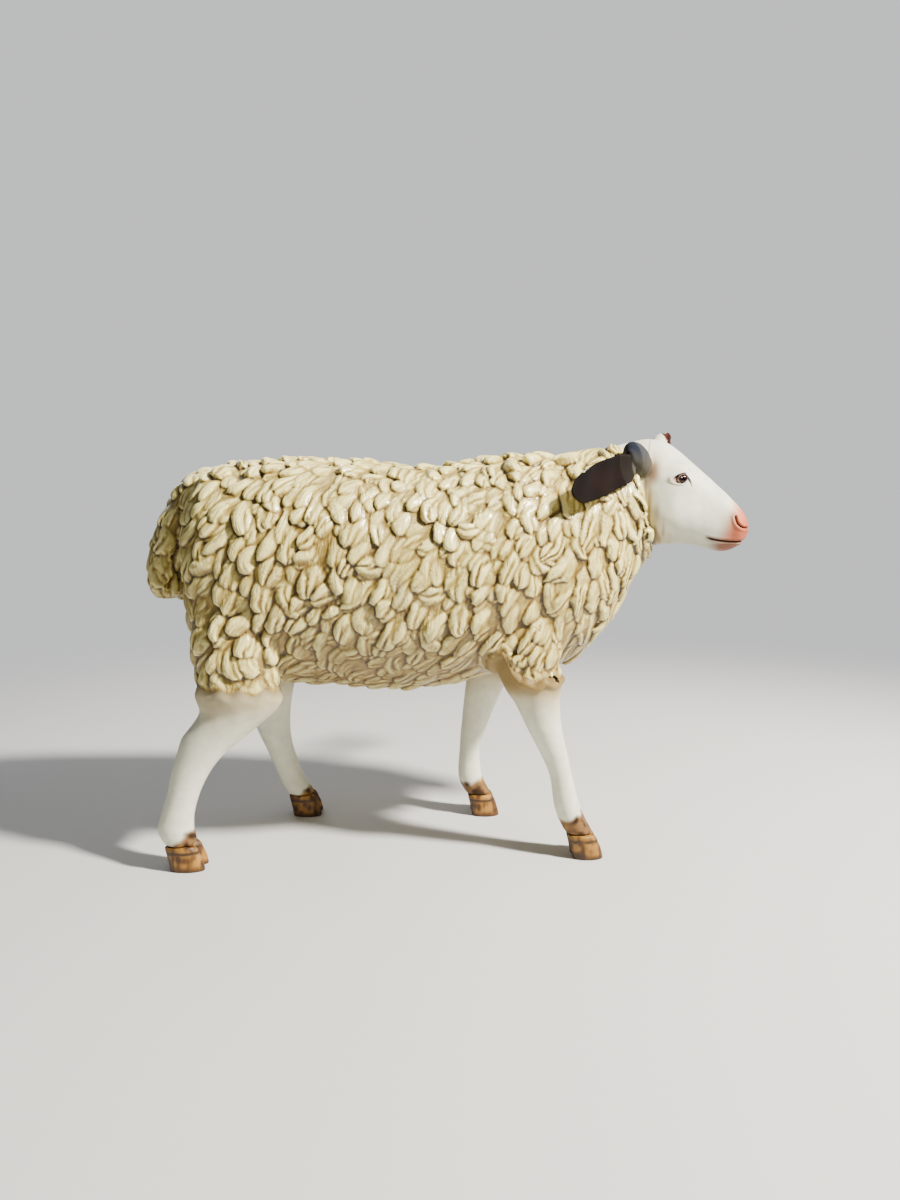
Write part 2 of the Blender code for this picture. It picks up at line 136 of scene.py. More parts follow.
TAIL = (
    (0.795, -0.478, 0.026, 0.038), (0.776, -0.508, 0.031, 0.055), (0.740, -0.538, 0.036, 0.066),
    (0.680, -0.565, 0.039, 0.073), (0.620, -0.582, 0.040, 0.076), (0.565, -0.588, 0.037, 0.076),
    (0.538, -0.586, 0.033, 0.071), (0.524, -0.583, 0.022, 0.056),
)

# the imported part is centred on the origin: the eye tells by how much
low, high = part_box("eye_right")
eye_place = TURN_HEAD @ Vector((EYE[0], -EYE[1], EYE[2]))
SHIFT = Vector(((low.x + high.x) / 2 - eye_place.x, (low.y + high.y) / 2 - eye_place.y, 0.0))

# paint, linear light
CREAM = (0.54, 0.415, 0.105)
CREST_AND_HIGHLIGHT = (1.00, 0.880, 0.360)
OCHRE = (0.185, 0.098, 0.016)
STRAW = (0.285, 0.180, 0.032)
HEM_BEIGE = (0.33, 0.225, 0.065)
HEM_OCHRE = (0.25, 0.160, 0.045)
GROOVE_WASH_AND_SHADE = (0.026, 0.015, 0.004)
WHITE = (0.775, 0.775, 0.620)
BEIGE = (0.52, 0.415, 0.225)
BLUSH = (0.46, 0.29, 0.17)
PINK = (0.60, 0.155, 0.075)
PINK_DEEP = (0.42, 0.085, 0.035)
NOSTRIL = (0.10, 0.022, 0.012)
MOUTH = (0.060, 0.022, 0.012)
MAROON_AND_SHADE = (0.0035, 0.0014, 0.0012)
BRICK = (0.13, 0.030, 0.016)
HOOF_BROWN = (0.165, 0.066, 0.009)
RUST_LIGHT = (0.38, 0.185, 0.032)
HOOF_DARK_AND_SHADE = (0.034, 0.015, 0.005)
THROAT_SHADOW = (0.022, 0.014, 0.004)


# ---------------------------------------------------------------- helpers
def smooth_rows(table, count=24):
    """Catmull-Rom interpolation of a table of sections, evenly in index."""
    rows = np.array(table, float)
    out = []
    for position in np.linspace(0, len(rows) - 1, count):
        i = min(int(position), len(rows) - 2)
        t = position - i
        a, b = rows[i], rows[i + 1]
        before = rows[i - 1] if i > 0 else 2 * a - b
        after = rows[i + 2] if i + 2 < len(rows) else 2 * b - a
        out.append(0.5 * (2 * a + (b - before) * t + (2 * before - 5 * a + 4 * b - after) * t * t
                          + (3 * a - before - 3 * b + after) * t ** 3))
    return out


def circle(count):
    """Cosine and sine at even steps round a circle."""
    angles = [2 * math.pi * step / count for step in range(count)]
    return [(math.cos(angle), math.sin(angle)) for angle in angles]


def read_rows(table, values):
    """The other columns of a table, read at some values of its first column."""
    rows = np.array(sorted(table), float)
    return [np.interp(values, rows[:, 0], column) for column in rows.T[1:]]


def upright_section(x_top, top, x_bottom, bottom, half_width, power=2.2, lean=0.0, count=96):
    """An oval ring between a top and a bottom point, fuller than an ellipse and wider below with a lean."""
    centre = (Vector((x_top, 0, top)) + Vector((x_bottom, 0, bottom))) / 2
    up = (Vector((x_top, 0, top)) - Vector((x_bottom, 0, bottom))) / 2
    ring = []
    for c, n in circle(count):
        across = math.copysign(abs(c) ** (2 / power), c)
        rise = math.copysign(abs(n) ** (2 / power), n)
        ring.append(centre + Vector((0, 1, 0)) * (across * half_width * (1 - lean * rise)) + up * rise)
    return ring


def add_object(name, data):
    """A new object in the scene."""
    thing = bpy.data.objects.new(name, data)
    bpy.context.scene.collection.objects.link(thing)
    return thing


def loft(name, rings):
    """A closed surface through rings of equal count, with a flat cap at each end."""
    points = [p for ring in rings for p in ring]
    count = len(rings[0])
    faces = []
    for row in range(len(rings) - 1):
        for step in range(count):
            near = row * count + step
            far = row * count + (step + 1) % count
            faces.append((near, far, far + count, near + count))
    faces.append(tuple(reversed(range(count))))
    faces.append(tuple(range(len(points) - count, len(points))))
    mesh = bpy.data.meshes.new(name)
    mesh.from_pydata([tuple(p) for p in points], [], faces)
    mesh.validate()
    bm = bmesh.new()
    bm.from_mesh(mesh)
    bmesh.ops.recalc_face_normals(bm, faces=bm.faces)
    bm.to_mesh(mesh)
    bm.free()
    return add_object(name, mesh)


def remesh(thing, grain, smoothing):
    """One closed surface round all that the mesh holds, with faces of one size, relaxed a little."""
    voxels = thing.modifiers.new("fuse", "REMESH")
    voxels.mode = "VOXEL"
    voxels.voxel_size = grain
    relax = thing.modifiers.new("relax", "SMOOTH")
    relax.factor = 0.5
    relax.iterations = smoothing
    bpy.context.view_layer.update()
    shape = thing.evaluated_get(bpy.context.evaluated_depsgraph_get())
    mesh = bpy.data.meshes.new_from_object(shape)
    thing.modifiers.clear()
    old = thing.data
    thing.data = mesh
    bpy.data.meshes.remove(old)
    return thing


def fuse(name, things, grain, smoothing):
    """Several forms made into one piece."""
    bm = bmesh.new()
    for thing in things:
        bm.from_mesh(thing.data)
        bpy.data.objects.remove(thing, do_unlink=True)
    mesh = bpy.data.meshes.new(name)
    bm.to_mesh(mesh)
    bm.free()
    return remesh(add_object(name, mesh), grain, smoothing)


def oval_rings(stations, y_top, y_foot, z_top, count=48, rows=64):
    """Level oval rings of a leg or the tail, its middle line bending sideways with height."""
    rings = []
    for level, middle, along, across in smooth_rows(stations, rows):
        y = y_foot + (y_top - y_foot) * max(0.0, level / z_top) ** 1.5
        rings.append([Vector((middle + along * c, y + across * n, level)) for c, n in circle(count)])
    return rings


def coords(thing):
    flat = np.empty(len(thing.data.vertices) * 3)
    thing.data.vertices.foreach_get("co", flat)
    return flat.reshape(-1, 3)


def normals(thing):
    flat = np.empty(len(thing.data.vertices) * 3)
    thing.data.vertices.foreach_get("normal", flat)
    return flat.reshape(-1, 3)


def set_coords(thing, points):
    thing.data.vertices.foreach_set("co", np.ascontiguousarray(points, dtype=float).ravel())
    thing.data.update()


def ramp(value, low_end, high_end):
    """Smooth step from 0 at low_end to 1 at high_end."""
    t = np.clip((value - low_end) / (high_end - low_end), 0.0, 1.0)
    return t * t * (3 - 2 * t)


def bump(distance, width):
    """1 at no distance, falling softly to 0 within about two widths."""
    return np.exp(-(distance / width) ** 2)


def field(points, scale, seed=0.0):
    """Soft noise from -1 to 1 at each point."""
    offset = Vector((seed, seed * 1.7, -seed))
    return np.array([noise.noise(Vector(p) * scale + offset) for p in points])


def mix(base, colour, amount):
    """A colour laid over another, as strongly as amount says at each point."""
    amount = np.clip(amount, 0, 1)[:, None]
    return base * (1 - amount) + np.array(colour) * amount


class Paint:
    """The colours of a piece's points, laid one over the other."""

    def __init__(self, base, points):
        self.colours = np.tile(np.array(base), (len(points), 1))

    def dab(self, colour, amount, where=True):
        self.colours = mix(self.colours, colour, np.where(where, amount, 0))


def to_head(points):
    """Points in the head's own line: forward, left, up."""
    c, s = math.cos(-HEAD_YAW), math.sin(-HEAD_YAW)
    x, y = points[:, 0] - HEAD_PIVOT.x, points[:, 1]
    return np.stack([x * c - y * s, x * s + y * c, points[:, 2]], 1)


def curve_distance(points, line):
    """Distance from 2-D points to a polyline, and how far along it the nearest place is."""
    best = np.full(len(points), 9.0)
    where = np.zeros(len(points))
    line = np.array(line, float)
    lengths = np.linalg.norm(np.diff(line, axis=0), axis=1)
    total, run = lengths.sum(), 0.0
    for a, b, length in zip(line[:-1], line[1:], lengths):
        t = np.clip(((points - a) @ (b - a)) / length ** 2, 0, 1)
        d = np.linalg.norm(points - (a + t[:, None] * (b - a)), axis=1)
        nearer = d < best
        best[nearer] = d[nearer]
        where[nearer] = (run + t[nearer] * length) / total
        run += length
    return best, where


# ---------------------------------------------------------------- the skin: body
barrel = loft("barrel", [upright_section(x, top, x, bottom, half_width, 2.25)
                         for x, top, bottom, half_width in smooth_rows(BARREL, 90)])
neck = loft("neck_form", [upright_section(*row) for row in smooth_rows(NECK, 60)])
legs = [loft(f"form_{name}", oval_rings(*LEGS[name])) for name in LEGS]
tail = loft("form_tail", oval_rings(TAIL, 0.0, 0.0, 1.0))
body = fuse("skin", [barrel, neck, tail] + legs, BODY_GRAIN, 8)


def leg_reach(points, name):
    """How far a point is from a leg's middle line, in units of the leg's own half sizes."""
    stations, y_top, y_foot, z_top = LEGS[name]
    z = points[:, 2]
    middle, along, across = read_rows(stations, z)
    y = y_foot + (y_top - y_foot) * np.clip(z / z_top, 0, 1) ** 1.5
    return np.hypot((points[:, 0] - middle) / along, (points[:, 1] - y) / across)


def hem_level(points, name):
    """Where the fleece ends on a leg: it climbs behind the fore legs and slants on the hind ones."""
    wave = 0.004 * np.sin(points[:, 0] * 150)
    if name.startswith("hind"):
        return HIND_HEM + wave - 0.10 * np.clip(points[:, 0] + 0.43, -0.05, 0.05)
    middle, _, _ = read_rows(LEGS[name][0], FORE_HEM)
    return FORE_HEM + wave + 1.7 * np.clip(middle - 0.026 - points[:, 0], 0, 0.034)


def beside_leg(points, name):
    """1 on a leg and close round it, 0 further away."""
    return 1 - ramp(leg_reach(points, name), 1.18, 1.42)


def fleece_share(points):
    """1 where the fleece is, 0 where the paint is bare, on the outline out to the coat's tips."""
    share = np.ones(len(points))
    for name in LEGS:
        hem = hem_level(points, name)
        below = 1 - ramp(points[:, 2], hem - 0.012, hem + (0.018 if name.startswith("fore") else 0.032))
        share = np.minimum(share, 1 - beside_leg(points, name) * below)
    return share


def hem_lip(points):
    """A rounded moulded lip where the fleece ends on each leg, thickest behind the fore legs."""
    lip = np.zeros(len(points))
    for name in LEGS:
        line = bump(points[:, 2] - hem_level(points, name) + 0.008, 0.0075)
        lip = np.maximum(lip, beside_leg(points, name) * line * (1.0 if name.startswith("fore") else 0.15))
    return lip


points = coords(body)
fleece = fleece_share(points)
set_coords(body, points + normals(body) * (LIP_HEIGHT * hem_lip(points) - fleece * COAT_DEPTH)[:, None])

# ---------------------------------------------------------------- the skin: head and ears
skull = loft("skull", [upright_section(x, top, x, bottom, half_width, 2.3, lean)
                       for x, top, bottom, half_width, lean in smooth_rows(HEAD, 110)])
skull.data.transform(TURN_HEAD)
nape = loft("nape", [upright_section(*row) for row in smooth_rows(NAPE, 30)])


def ear_frame(side):
    """An ear's places and directions: along it, across it, and out of its hollow."""
    root, tip, upright, opening, base, sink, cupping, lens_size = EARS[side]
    root, tip, base, upright = Vector(root), Vector(tip), Vector(base), Vector(upright)
    axis = (tip - root).normalized()
    breadth = (upright - axis * upright.dot(axis)).normalized()
    face = axis.cross(breadth).normalized()
    if face.dot(Vector(opening)) < 0:
        face = -face
    return SimpleNamespace(root=root, tip=tip, base=base, blade_root=root + Vector((0, 0, sink)),
                           stem=(root - base).normalized(), breadth=breadth, face=face, cupping=cupping,
                           lens_size=lens_size)


def ear_forms(side):
    """The leaf blade, cupped to its opening, and the rounded root that carries it."""
    ear = ear_frame(side)
    rings = []
    for share, broad, thick in smooth_rows(EAR, 60):
        centre = ear.blade_root.lerp(ear.tip, share) + Vector((0, 0, 0.004)) * math.sin(math.pi * share)
        cup = broad * (ear.cupping - 0.20 * min(1.0, max(0.0, share)))
        ring = []
        for across, n in circle(96):
            lift = cup * (across * across - 0.45)
            wave = 0.0012 * math.sin(share * 17 + across * 2)
            ring.append(centre + ear.breadth * (broad * across) + ear.face * (thick * n + lift + wave))
        rings.append(ring)
    blade = loft(f"blade_{side}", rings)
    lens_side = ear.breadth.cross(ear.stem).normalized()
    lens_wide, lens_tall = ear.lens_size
    rings = []
    for step_along in range(41):
        share = step_along / 40
        swell = 0.62 + 0.38 * math.sin(math.pi * min(1.0, share * 1.15))
        swell = swell * math.sqrt(max(0.004, 1 - max(0.0, (share - 0.6) / 0.4) ** 2))
        centre = ear.base.lerp(ear.root + ear.stem * 0.016, share)
        rings.append([centre + ear.breadth * (lens_wide * swell * c) + lens_side * (lens_tall * swell * n)
                      for c, n in circle(60)])
    return [blade, loft(f"lens_{side}", rings)]


head = fuse("head_skin", [skull, nape] + ear_forms("left") + ear_forms("right"), HEAD_GRAIN, 5)

# finer faces round the eyes, the nose and the mouth
bm = bmesh.new()
bm.from_mesh(head.data)
turned = to_head(coords(head))
eye_far = np.minimum(np.linalg.norm(turned - np.array([EYE[0], EYE[1] + 0.009, EYE[2]]), axis=1),
                     np.linalg.norm(turned - np.array([EYE[0], -EYE[1] - 0.009, EYE[2]]), axis=1))
fine = (eye_far < 0.032) | ((turned[:, 0] > 0.132) & (turned[:, 2] < 0.705))
bm.verts.ensure_lookup_table()
edges = [edge for edge in bm.edges if fine[edge.verts[0].index] and fine[edge.verts[1].index]]
bmesh.ops.subdivide_edges(bm, edges=edges, cuts=1, use_grid_fill=True)
bm.to_mesh(head.data)
bm.free()

# lines of the face seen from the side: two about the eye's middle, two in the head's own line
TEAR = [(0.0046, 0.0100), (0.0098, 0.0046), (0.0155, -0.0028), (0.0184, -0.0105), (0.0192, -0.0145)]
UPPER_LID = [(-0.0170, 0.0008), (-0.0125, 0.0030), (-0.0072, 0.0064), (-0.0010, 0.0090), (0.0046, 0.0102)]
NOSTRIL_LINE = [(0.1935, 0.6935), (0.1955, 0.6850), (0.2000, 0.6775), (0.2080, 0.6720), (0.2180, 0.6705)]
MOUTH_LINE = [(0.138, 0.6515), (0.152, 0.6475), (0.170, 0.6445), (0.190, 0.6430), (0.210, 0.6430),
              (0.230, 0.6440)]


def almond(turned):
    """Under 1 inside the eye opening, on either side of the head: round in front, pointed behind."""
    a, b = turned[:, 0] - EYE[0] - 0.0006, turned[:, 2] - EYE[2] + 0.0004
    b = b - 0.06 * a
    along = np.where(a > 0, (np.abs(a) / 0.0082) ** 2.0, (np.abs(a) / 0.0172) ** 1.35)
    reach = along + (b / 0.0088) ** 2
    return np.where(np.abs(turned[:, 1]) > 0.030, reach, 99.0)


def face_marks(turned):
    """What the modelling and the paint of the face are measured from."""
    ahead, aside, level = turned.T
    side_view = turned[:, [0, 2]]
    from_eye = side_view - np.array([EYE[0], EYE[2]])
    return SimpleNamespace(
        opening=almond(turned), from_eye=from_eye.T,
        eye_zone=(np.abs(aside) > 0.030) & (np.hypot(ahead - EYE[0], level - EYE[2]) < 0.04),
        lid=curve_distance(from_eye, smooth_rows(UPPER_LID)),
        tear=curve_distance(from_eye, smooth_rows(TEAR)),
        nostril=curve_distance(side_view, smooth_rows(NOSTRIL_LINE))[0],
        mouth=curve_distance(side_view, smooth_rows(MOUTH_LINE))[0],
        nose_side=(np.abs(aside) > 0.009) & (ahead > 0.18))


def oval(turned, ahead, level, half_length, half_height):
    """Under 1 within an oval on the side of the head."""
    return np.hypot((turned[:, 0] - ahead) / half_length, (turned[:, 2] - level) / half_height)


points, outward = coords(head), normals(head)
turned = to_head(points)
h, s, z = turned.T
marks = face_marks(turned)
opening, eye_zone, nose_side = marks.opening, marks.eye_zone, marks.nose_side
lid_far, tear_far = marks.lid[0], marks.tear[0]
push = np.zeros(len(points))
push -= 0.0065 * (1 - ramp(opening, 0.55, 1.12))                     # the socket behind the lids
push += 0.0021 * bump(opening - 1.55, 0.50)                           # the lids' rims
push += np.where(eye_zone, 0.0016 * bump(lid_far - 0.0045, 0.0035), 0)
push -= np.where(eye_zone, 0.0014 * bump(tear_far, 0.0016), 0)
# brow over the eye, jaw muscle, hollow before the eye
push += 0.0026 * bump(oval(turned, 0.088, 0.792, 0.030, 0.012), 0.9) * (np.abs(s) > 0.02)
push += 0.0028 * bump(oval(turned, 0.060, 0.690, 0.045, 0.034), 0.9) * (np.abs(s) > 0.03)
push -= 0.0022 * bump(oval(turned, 0.128, 0.725, 0.030, 0.022), 0.9) * (np.abs(s) > 0.02)
# nose and mouth
push -= np.where(nose_side, 0.0042 * bump(marks.nostril, 0.0017), 0)
push += np.where(nose_side, 0.0014 * bump(marks.nostril - 0.0050, 0.0032), 0)
mouth_zone = h > 0.130
push -= np.where(mouth_zone, 0.0036 * bump(marks.mouth, 0.0013) * ramp(h, 0.134, 0.150), 0)
push += np.where(mouth_zone & (z < 0.643), 0.0016 * bump(marks.mouth - 0.0055, 0.0035), 0)
push += np.where(mouth_zone & (z > 0.643), 0.0008 * bump(marks.mouth - 0.0050, 0.0035), 0)
philtrum = (h > 0.19) & (np.abs(s) < 0.012) & (z < 0.690)
push -= np.where(philtrum, 0.0014 * bump(s, 0.0014), 0)
push += 0.0004 * field(points, 38, 3.0)                               # hand-modelled unevenness
set_coords(head, points + outward * push[:, None])

# one skin: the head's end lies inside the neck, under the coat
bm = bmesh.new()
bm.from_mesh(body.data)
bm.from_mesh(head.data)
body_count = len(body.data.vertices)
bm.to_mesh(body.data)
bm.free()
bpy.data.objects.remove(head, do_unlink=True)
skin = body

# ---------------------------------------------------------------- paint on the skin
points, outward = coords(skin), normals(skin)
turned = to_head(points)
h, s, z = turned.T
in_head = np.arange(len(points)) >= body_count
paint = Paint(WHITE, points)
mottle = field(points, 14, 1.0)
fine_mottle = field(points, 70, 5.0)

# bare legs: beige under the fleece, white below, brown pasterns
x, y, level = points.T
under_hem = level + 0.014 * mottle
for name in LEGS:
    same = ((x > MID_LEGS) == name.startswith("fore")) & ((y < 0) == name.endswith("right"))
    flat = FORE_HEM if name.startswith("fore") else HIND_HEM + 0.010
    under_hem[same] -= np.minimum(hem_level(points[same], name), flat)
stained = np.where(in_head, 0, np.where(x > MID_LEGS, 0.95, 0.62))        # the hind hems are paler
paint.dab(BEIGE, stained * ramp(under_hem, -0.105, -0.014))
paint.dab(HEM_OCHRE, stained ** 2 * ramp(under_hem, -0.056, -0.008))
pastern = np.where(x > 0.15, 0.094, np.where(x > -0.1, 0.088, np.where(x < -0.45, 0.062, 0.056)))
foot = np.array([place[0] for place in HOOF_PLACE.values()])
ahead = x - foot[np.abs(x[:, None] - foot).argmin(1)]
brown = 1 - ramp(level - 0.62 * np.clip(ahead, -0.022, 0.030) + 0.007 * mottle + 0.007 * fine_mottle,
                 pastern - 0.004, pastern + 0.008)
paint.dab(HOOF_BROWN, 0.95 * brown, ~in_head)
paint.dab(RUST_LIGHT, 0.8 * brown * ramp(mottle + 0.8 * fine_mottle, 0.0, 0.5), ~in_head)
paint.dab(HOOF_DARK_AND_SHADE, brown * ramp(-fine_mottle - 0.5 * mottle, 0.05, 0.55), ~in_head)
# the skin under the coat: ochre wash, darkened further with painted shade where it shows between the locks
bed = np.zeros(len(points))
bed[:body_count] = fleece
paint.dab(OCHRE, bed * 0.9)
paint.dab(GROOVE_WASH_AND_SHADE, bed * (0.55 + 0.3 * mottle))

# head
inside = in_head & (h > -0.02)
# painted shade: greyer towards the bottom of the head
paint.dab((0.70, 0.69, 0.61), 0.6 * ramp(0.70 - z, 0.0, 0.06), inside)
weather = field(turned, 11, 15.0) + 0.5 * field(turned, 34, 17.0)
paint.dab((0.50, 0.51, 0.40), 0.42 * ramp(weather, 0.0, 0.55), inside)
paint.dab((0.47, 0.48, 0.39), 0.38 * bump(oval(turned, 0.125, 0.672, 0.040, 0.022), 1.0), inside)
blush = oval(turned, 0.030, 0.787, 0.0165, 0.031) + 0.25 * mottle
paint.dab(BLUSH, 0.95 * (1 - ramp(blush, 0.30, 1.30)), inside & (np.abs(s) > 0.02))
paint.dab(BEIGE, 0.35 * (1 - ramp(oval(turned, 0.010, 0.745, 0.020, 0.045), 0.3, 1.2)), inside)
towards_nose = h - 0.36 * (z - 0.645) + 0.003 * mottle
paint.dab((0.60, 0.33, 0.21), 0.85 * ramp(towards_nose, 0.146, 0.178), inside)
paint.dab(PINK, 0.95 * ramp(towards_nose, 0.160, 0.190), inside)
paint.dab(PINK_DEEP, 0.60 * ramp(towards_nose, 0.184, 0.214), inside)
# brown under the mouth: partly the lip's paint, partly painted shade under the lower lip
lip_brown_and_shade = ramp(0.6425 - z, 0.0, 0.006) * ramp(h, 0.130, 0.165)
paint.dab((0.13, 0.042, 0.020), 0.88 * lip_brown_and_shade, inside)
# painted shade on the jaw where its faces turn downwards
shaded_under_jaw = inside & (h > 0.03) & (h < 0.16)
paint.dab((0.20, 0.18, 0.13), 0.55 * ramp(-outward[:, 2], 0.40, 0.95), shaded_under_jaw)
marks = face_marks(turned)
mouth_zone = inside & (h > 0.125)
around = 0.7 * bump(marks.mouth, 0.0055) * ramp(h, 0.13, 0.15)
paint.dab((0.20, 0.085, 0.045), around, mouth_zone)
paint.dab(MOUTH, 1.1 * bump(marks.mouth, 0.0021) * ramp(h, 0.134, 0.148), mouth_zone)
# painted highlight along the upper edge of the lower lip
lip = bump(marks.mouth - 0.0038, 0.0014) * ramp(h, 0.132, 0.150) * (z < 0.6445)
paint.dab((0.62, 0.42, 0.30), 0.7 * lip, mouth_zone)
paint.dab(NOSTRIL, 1.1 * bump(marks.nostril, 0.0018), inside & marks.nose_side)

# eye: rims, corners, upper lid and tear line, and painted shade behind the eye
opening, eye_zone = marks.opening, inside & marks.eye_zone
before, over = marks.from_eye
(lid_far, lid_at), (tear_far, tear_at) = marks.lid, marks.tear
paint.dab((0.60, 0.50, 0.44), 0.55 * (1 - ramp(opening, 1.0, 1.9)), eye_zone)
rim = (1 - ramp(opening, 0.85, 1.25)) * (0.45 + 0.5 * ramp(-before, 0.006, 0.015))
paint.dab((0.34, 0.20, 0.17), rim, eye_zone)
corner = np.hypot((before - 0.0105) / 0.0030, (over + 0.0005) / 0.0060)
paint.dab((0.62, 0.45, 0.40), 0.7 * (1 - ramp(corner, 0.5, 1.3)), eye_zone)
lid_line = (1 - ramp(lid_far, 0.0012 + 0.0014 * lid_at, 0.0026 + 0.0020 * lid_at)) * ramp(lid_at, 0.05, 0.30)
paint.dab((0.014, 0.010, 0.008), lid_line, eye_zone)
over_eye = ramp(over, 0.0005, 0.0045) * ramp(before, -0.013, -0.004)
before_eye = ramp(before, 0.003, 0.008) * ramp(over, -0.006, 0.0)
lid_dark = (1 - ramp(opening, 1.12, 1.50)) * np.maximum(over_eye, 0.9 * before_eye)
paint.dab((0.010, 0.007, 0.006), lid_dark, eye_zone)
tear_line = 1 - ramp(tear_far, 0.0025 - 0.0018 * tear_at, 0.0042 - 0.0022 * tear_at)
tear_line = tear_line * (1 - 0.7 * ramp(tear_at, 0.6, 1.0))
paint.dab((0.020, 0.016, 0.011), tear_line, eye_zone)
shade = np.hypot((before + 0.0215) / 0.0075, (over + 0.001) / 0.0040)
paint.dab((0.34, 0.34, 0.28), 0.55 * (1 - ramp(shade, 0.2, 1.3)), eye_zone)

# soft beige folds where the face runs under the fleece, and the moulding seam over the crown
folds = field(turned * np.array([130, 30, 16]), 1.0, 12.0)
near_collar = ramp(0.057 - h - 0.35 * (z - 0.70), -0.004, 0.036)
cheeks = inside & (np.abs(s) > 0.02) & (z < 0.80)
paint.dab((0.42, 0.32, 0.155), near_collar * (0.70 + 0.30 * ramp(folds, -0.2, 0.5)), cheeks)
paint.dab((0.22, 0.165, 0.085), near_collar * 0.85 * ramp(folds, 0.0, 0.4), cheeks)
crown = inside & (z > 0.800) & (s < 0.03)
paint.dab((0.33, 0.30, 0.25), 0.85 * bump(h - 0.0195, 0.0014), crown)
# painted shadow in the throat, between the jaw and the fleece
paint.dab(THROAT_SHADOW, ramp(0.044 - h, 0.0, 0.022) * ramp(0.676 - z, 0.0, 0.014), inside)

# ears: white outside, dark red-brown hollow; the near ear's blade is painted near-black nearly all over, as
# painted shade
matte = np.zeros(len(points))
for side in EARS:
    ear = ear_frame(side)
    axis = ear.tip - ear.blade_root
    rel = points - np.array(ear.blade_root)
    share = rel @ np.array(axis.normalized()) / axis.length
    broad, _ = read_rows(EAR, share)
    across = rel @ np.array(ear.breadth) / broad
    through = rel @ np.array(ear.face)
    cup = broad * (ear.cupping - 0.20 * np.clip(share, 0, 1)) * (np.clip(across, -1.3, 1.3) ** 2 - 0.45)
    out = (points - np.array(ear.base)) @ np.array(ear.stem)
    near = in_head & (np.abs(through - cup) < 0.016) & (share < 1.1) & (out > 0.030)
    near = near & (np.abs(across) < np.where(share > 0.8, 4.0, 1.35))
    inner = ramp(outward @ np.array(ear.face), *((-0.85, -0.45) if side == "right" else (-0.05, 0.30)))
    inner = inner * (ramp(share, 0.13, 0.17) if side == "right" else ramp(share, 0.02, 0.06))
    paint.dab(BRICK, inner, near)
    deep = inner * (1 - 0.05 * ramp(mottle, 0.0, 0.6))
    # painted shade: near-black over the near ear's blade; on the far ear only a little darkening of the brick
    # red
    paint.dab(MAROON_AND_SHADE, deep if side == "right" else 0.25 * deep, near)
    if side == "right":        # painted shade on the root and the lens, a painted sky reflection on the lens's top and a painted shadow in the gap by the head
        from_root = points - np.array(ear.root)
        far = np.linalg.norm(from_root, axis=1)
        close = in_head & (far < 0.085)
        seen = ramp(-outward[:, 1], -0.35, 0.25)
        stalk_in_shade = close & (share > -0.10) & (share < 0.20) & (out > 0.033)
        # painted shade: the ear's root, turned away from the light, painted near-black
        paint.dab((0.012, 0.009, 0.007), ramp(-outward[:, 1], -0.75, -0.35), stalk_in_shade)
        lens_in_shade = seen * ramp(out, 0.019, 0.029) * (1 - ramp(share, 0.010, 0.035))
        # painted shade on the lens, bluish towards its top as a painted sky reflection
        lens_shade_and_sky = mix(np.array((0.066, 0.060, 0.049)), (0.013, 0.017, 0.030),
                    ramp(from_root[:, 2], -0.018, 0.022))
        paint.dab(lens_shade_and_sky, 0.97 * lens_in_shade, close & (far < 0.056))
        # painted shadow in the gap between the lens and the head
        gap_shadow = bump(out - 0.0225, 0.0042) * ramp(0.018 - from_root[:, 2], -0.030, 0.020)
        gap_shadow = gap_shadow * (1 - ramp(far, 0.048, 0.078))
        paint.dab((0.020, 0.015, 0.010), 0.80 * gap_shadow, close)
        matte = np.maximum(matte, np.where(close, np.maximum(0.8 * lens_in_shade, seen * stalk_in_shade), 0))
    else:                      # the far ear's front edge shows the red hollow
        front_edge = ramp(points[:, 0] + 0.40 * (points[:, 2] - 0.860), 0.4715, 0.4735)
        front_edge = front_edge * ramp(outward @ np.array((0.6, -0.8, 0.0)), -0.25, 0.0)
        paint.dab((0.065, 0.013, 0.008), front_edge * (1 - 0.5 * ramp(share, 0.30, 0.95)), near)
    matte = np.maximum(matte, np.where(near, inner, 0))

colours = paint.colours * (1 + 0.05 * mottle + 0.03 * fine_mottle)[:, None]


def put_colour(thing, colours):
    """The paint of each point, on smoothly shaded faces."""
    thing.data.polygons.foreach_set("use_smooth", [True] * len(thing.data.polygons))
    attribute = thing.data.color_attributes.new("paint", "FLOAT_COLOR", "POINT")
    rgba = np.ones((len(colours), 4))
    rgba[:, :3] = np.clip(colours, 0, 1)
    attribute.data.foreach_set("color", rgba.ravel())
    thing.data.color_attributes.active_color = attribute


def put_values(thing, name, values):
    """One number for each point, for the material to read."""
    thing.data.attributes.new(name, "FLOAT", "POINT").data.foreach_set("value", values)


put_colour(skin, colours)
put_values(skin, "matte", matte)

# ---------------------------------------------------------------- the coat of carved locks
rng = np.random.default_rng(7)
bm = bmesh.new()
bm.from_mesh(skin.data)
bm.verts.ensure_lookup_table()
bmesh.ops.delete(bm, geom=[v for v in bm.verts if v.index >= body_count], context="VERTS")
bm.normal_update()
bm.verts.ensure_lookup_table()
bm.faces.ensure_lookup_table()
skin_tree = BVHTree.FromBMesh(bm)
vertex_normals = np.array([v.normal for v in bm.verts])
bed_points = np.array([v.co for v in bm.verts])
bed_faces = np.array([[v.index for v in face.verts] for face in bm.faces])
bm.free()
corners = bed_points[bed_faces]
centres = corners.mean(1)
diagonals = np.cross(corners[:, 2] - corners[:, 0], corners[:, 3] - corners[:, 1])
areas = 0.5 * np.linalg.norm(diagonals, axis=1)
face_fleece = fleece[bed_faces].mean(1)
face_normals = vertex_normals[bed_faces].mean(1)
face_normals /= np.linalg.norm(face_normals, axis=1)[:, None]


def on_skin(point):
    """Nearest place on the skin, its smooth normal and its share of fleece."""
    place, _, index, _ = skin_tree.find_nearest(Vector(point))
    return np.array(place), face_normals[index], face_fleece[index]


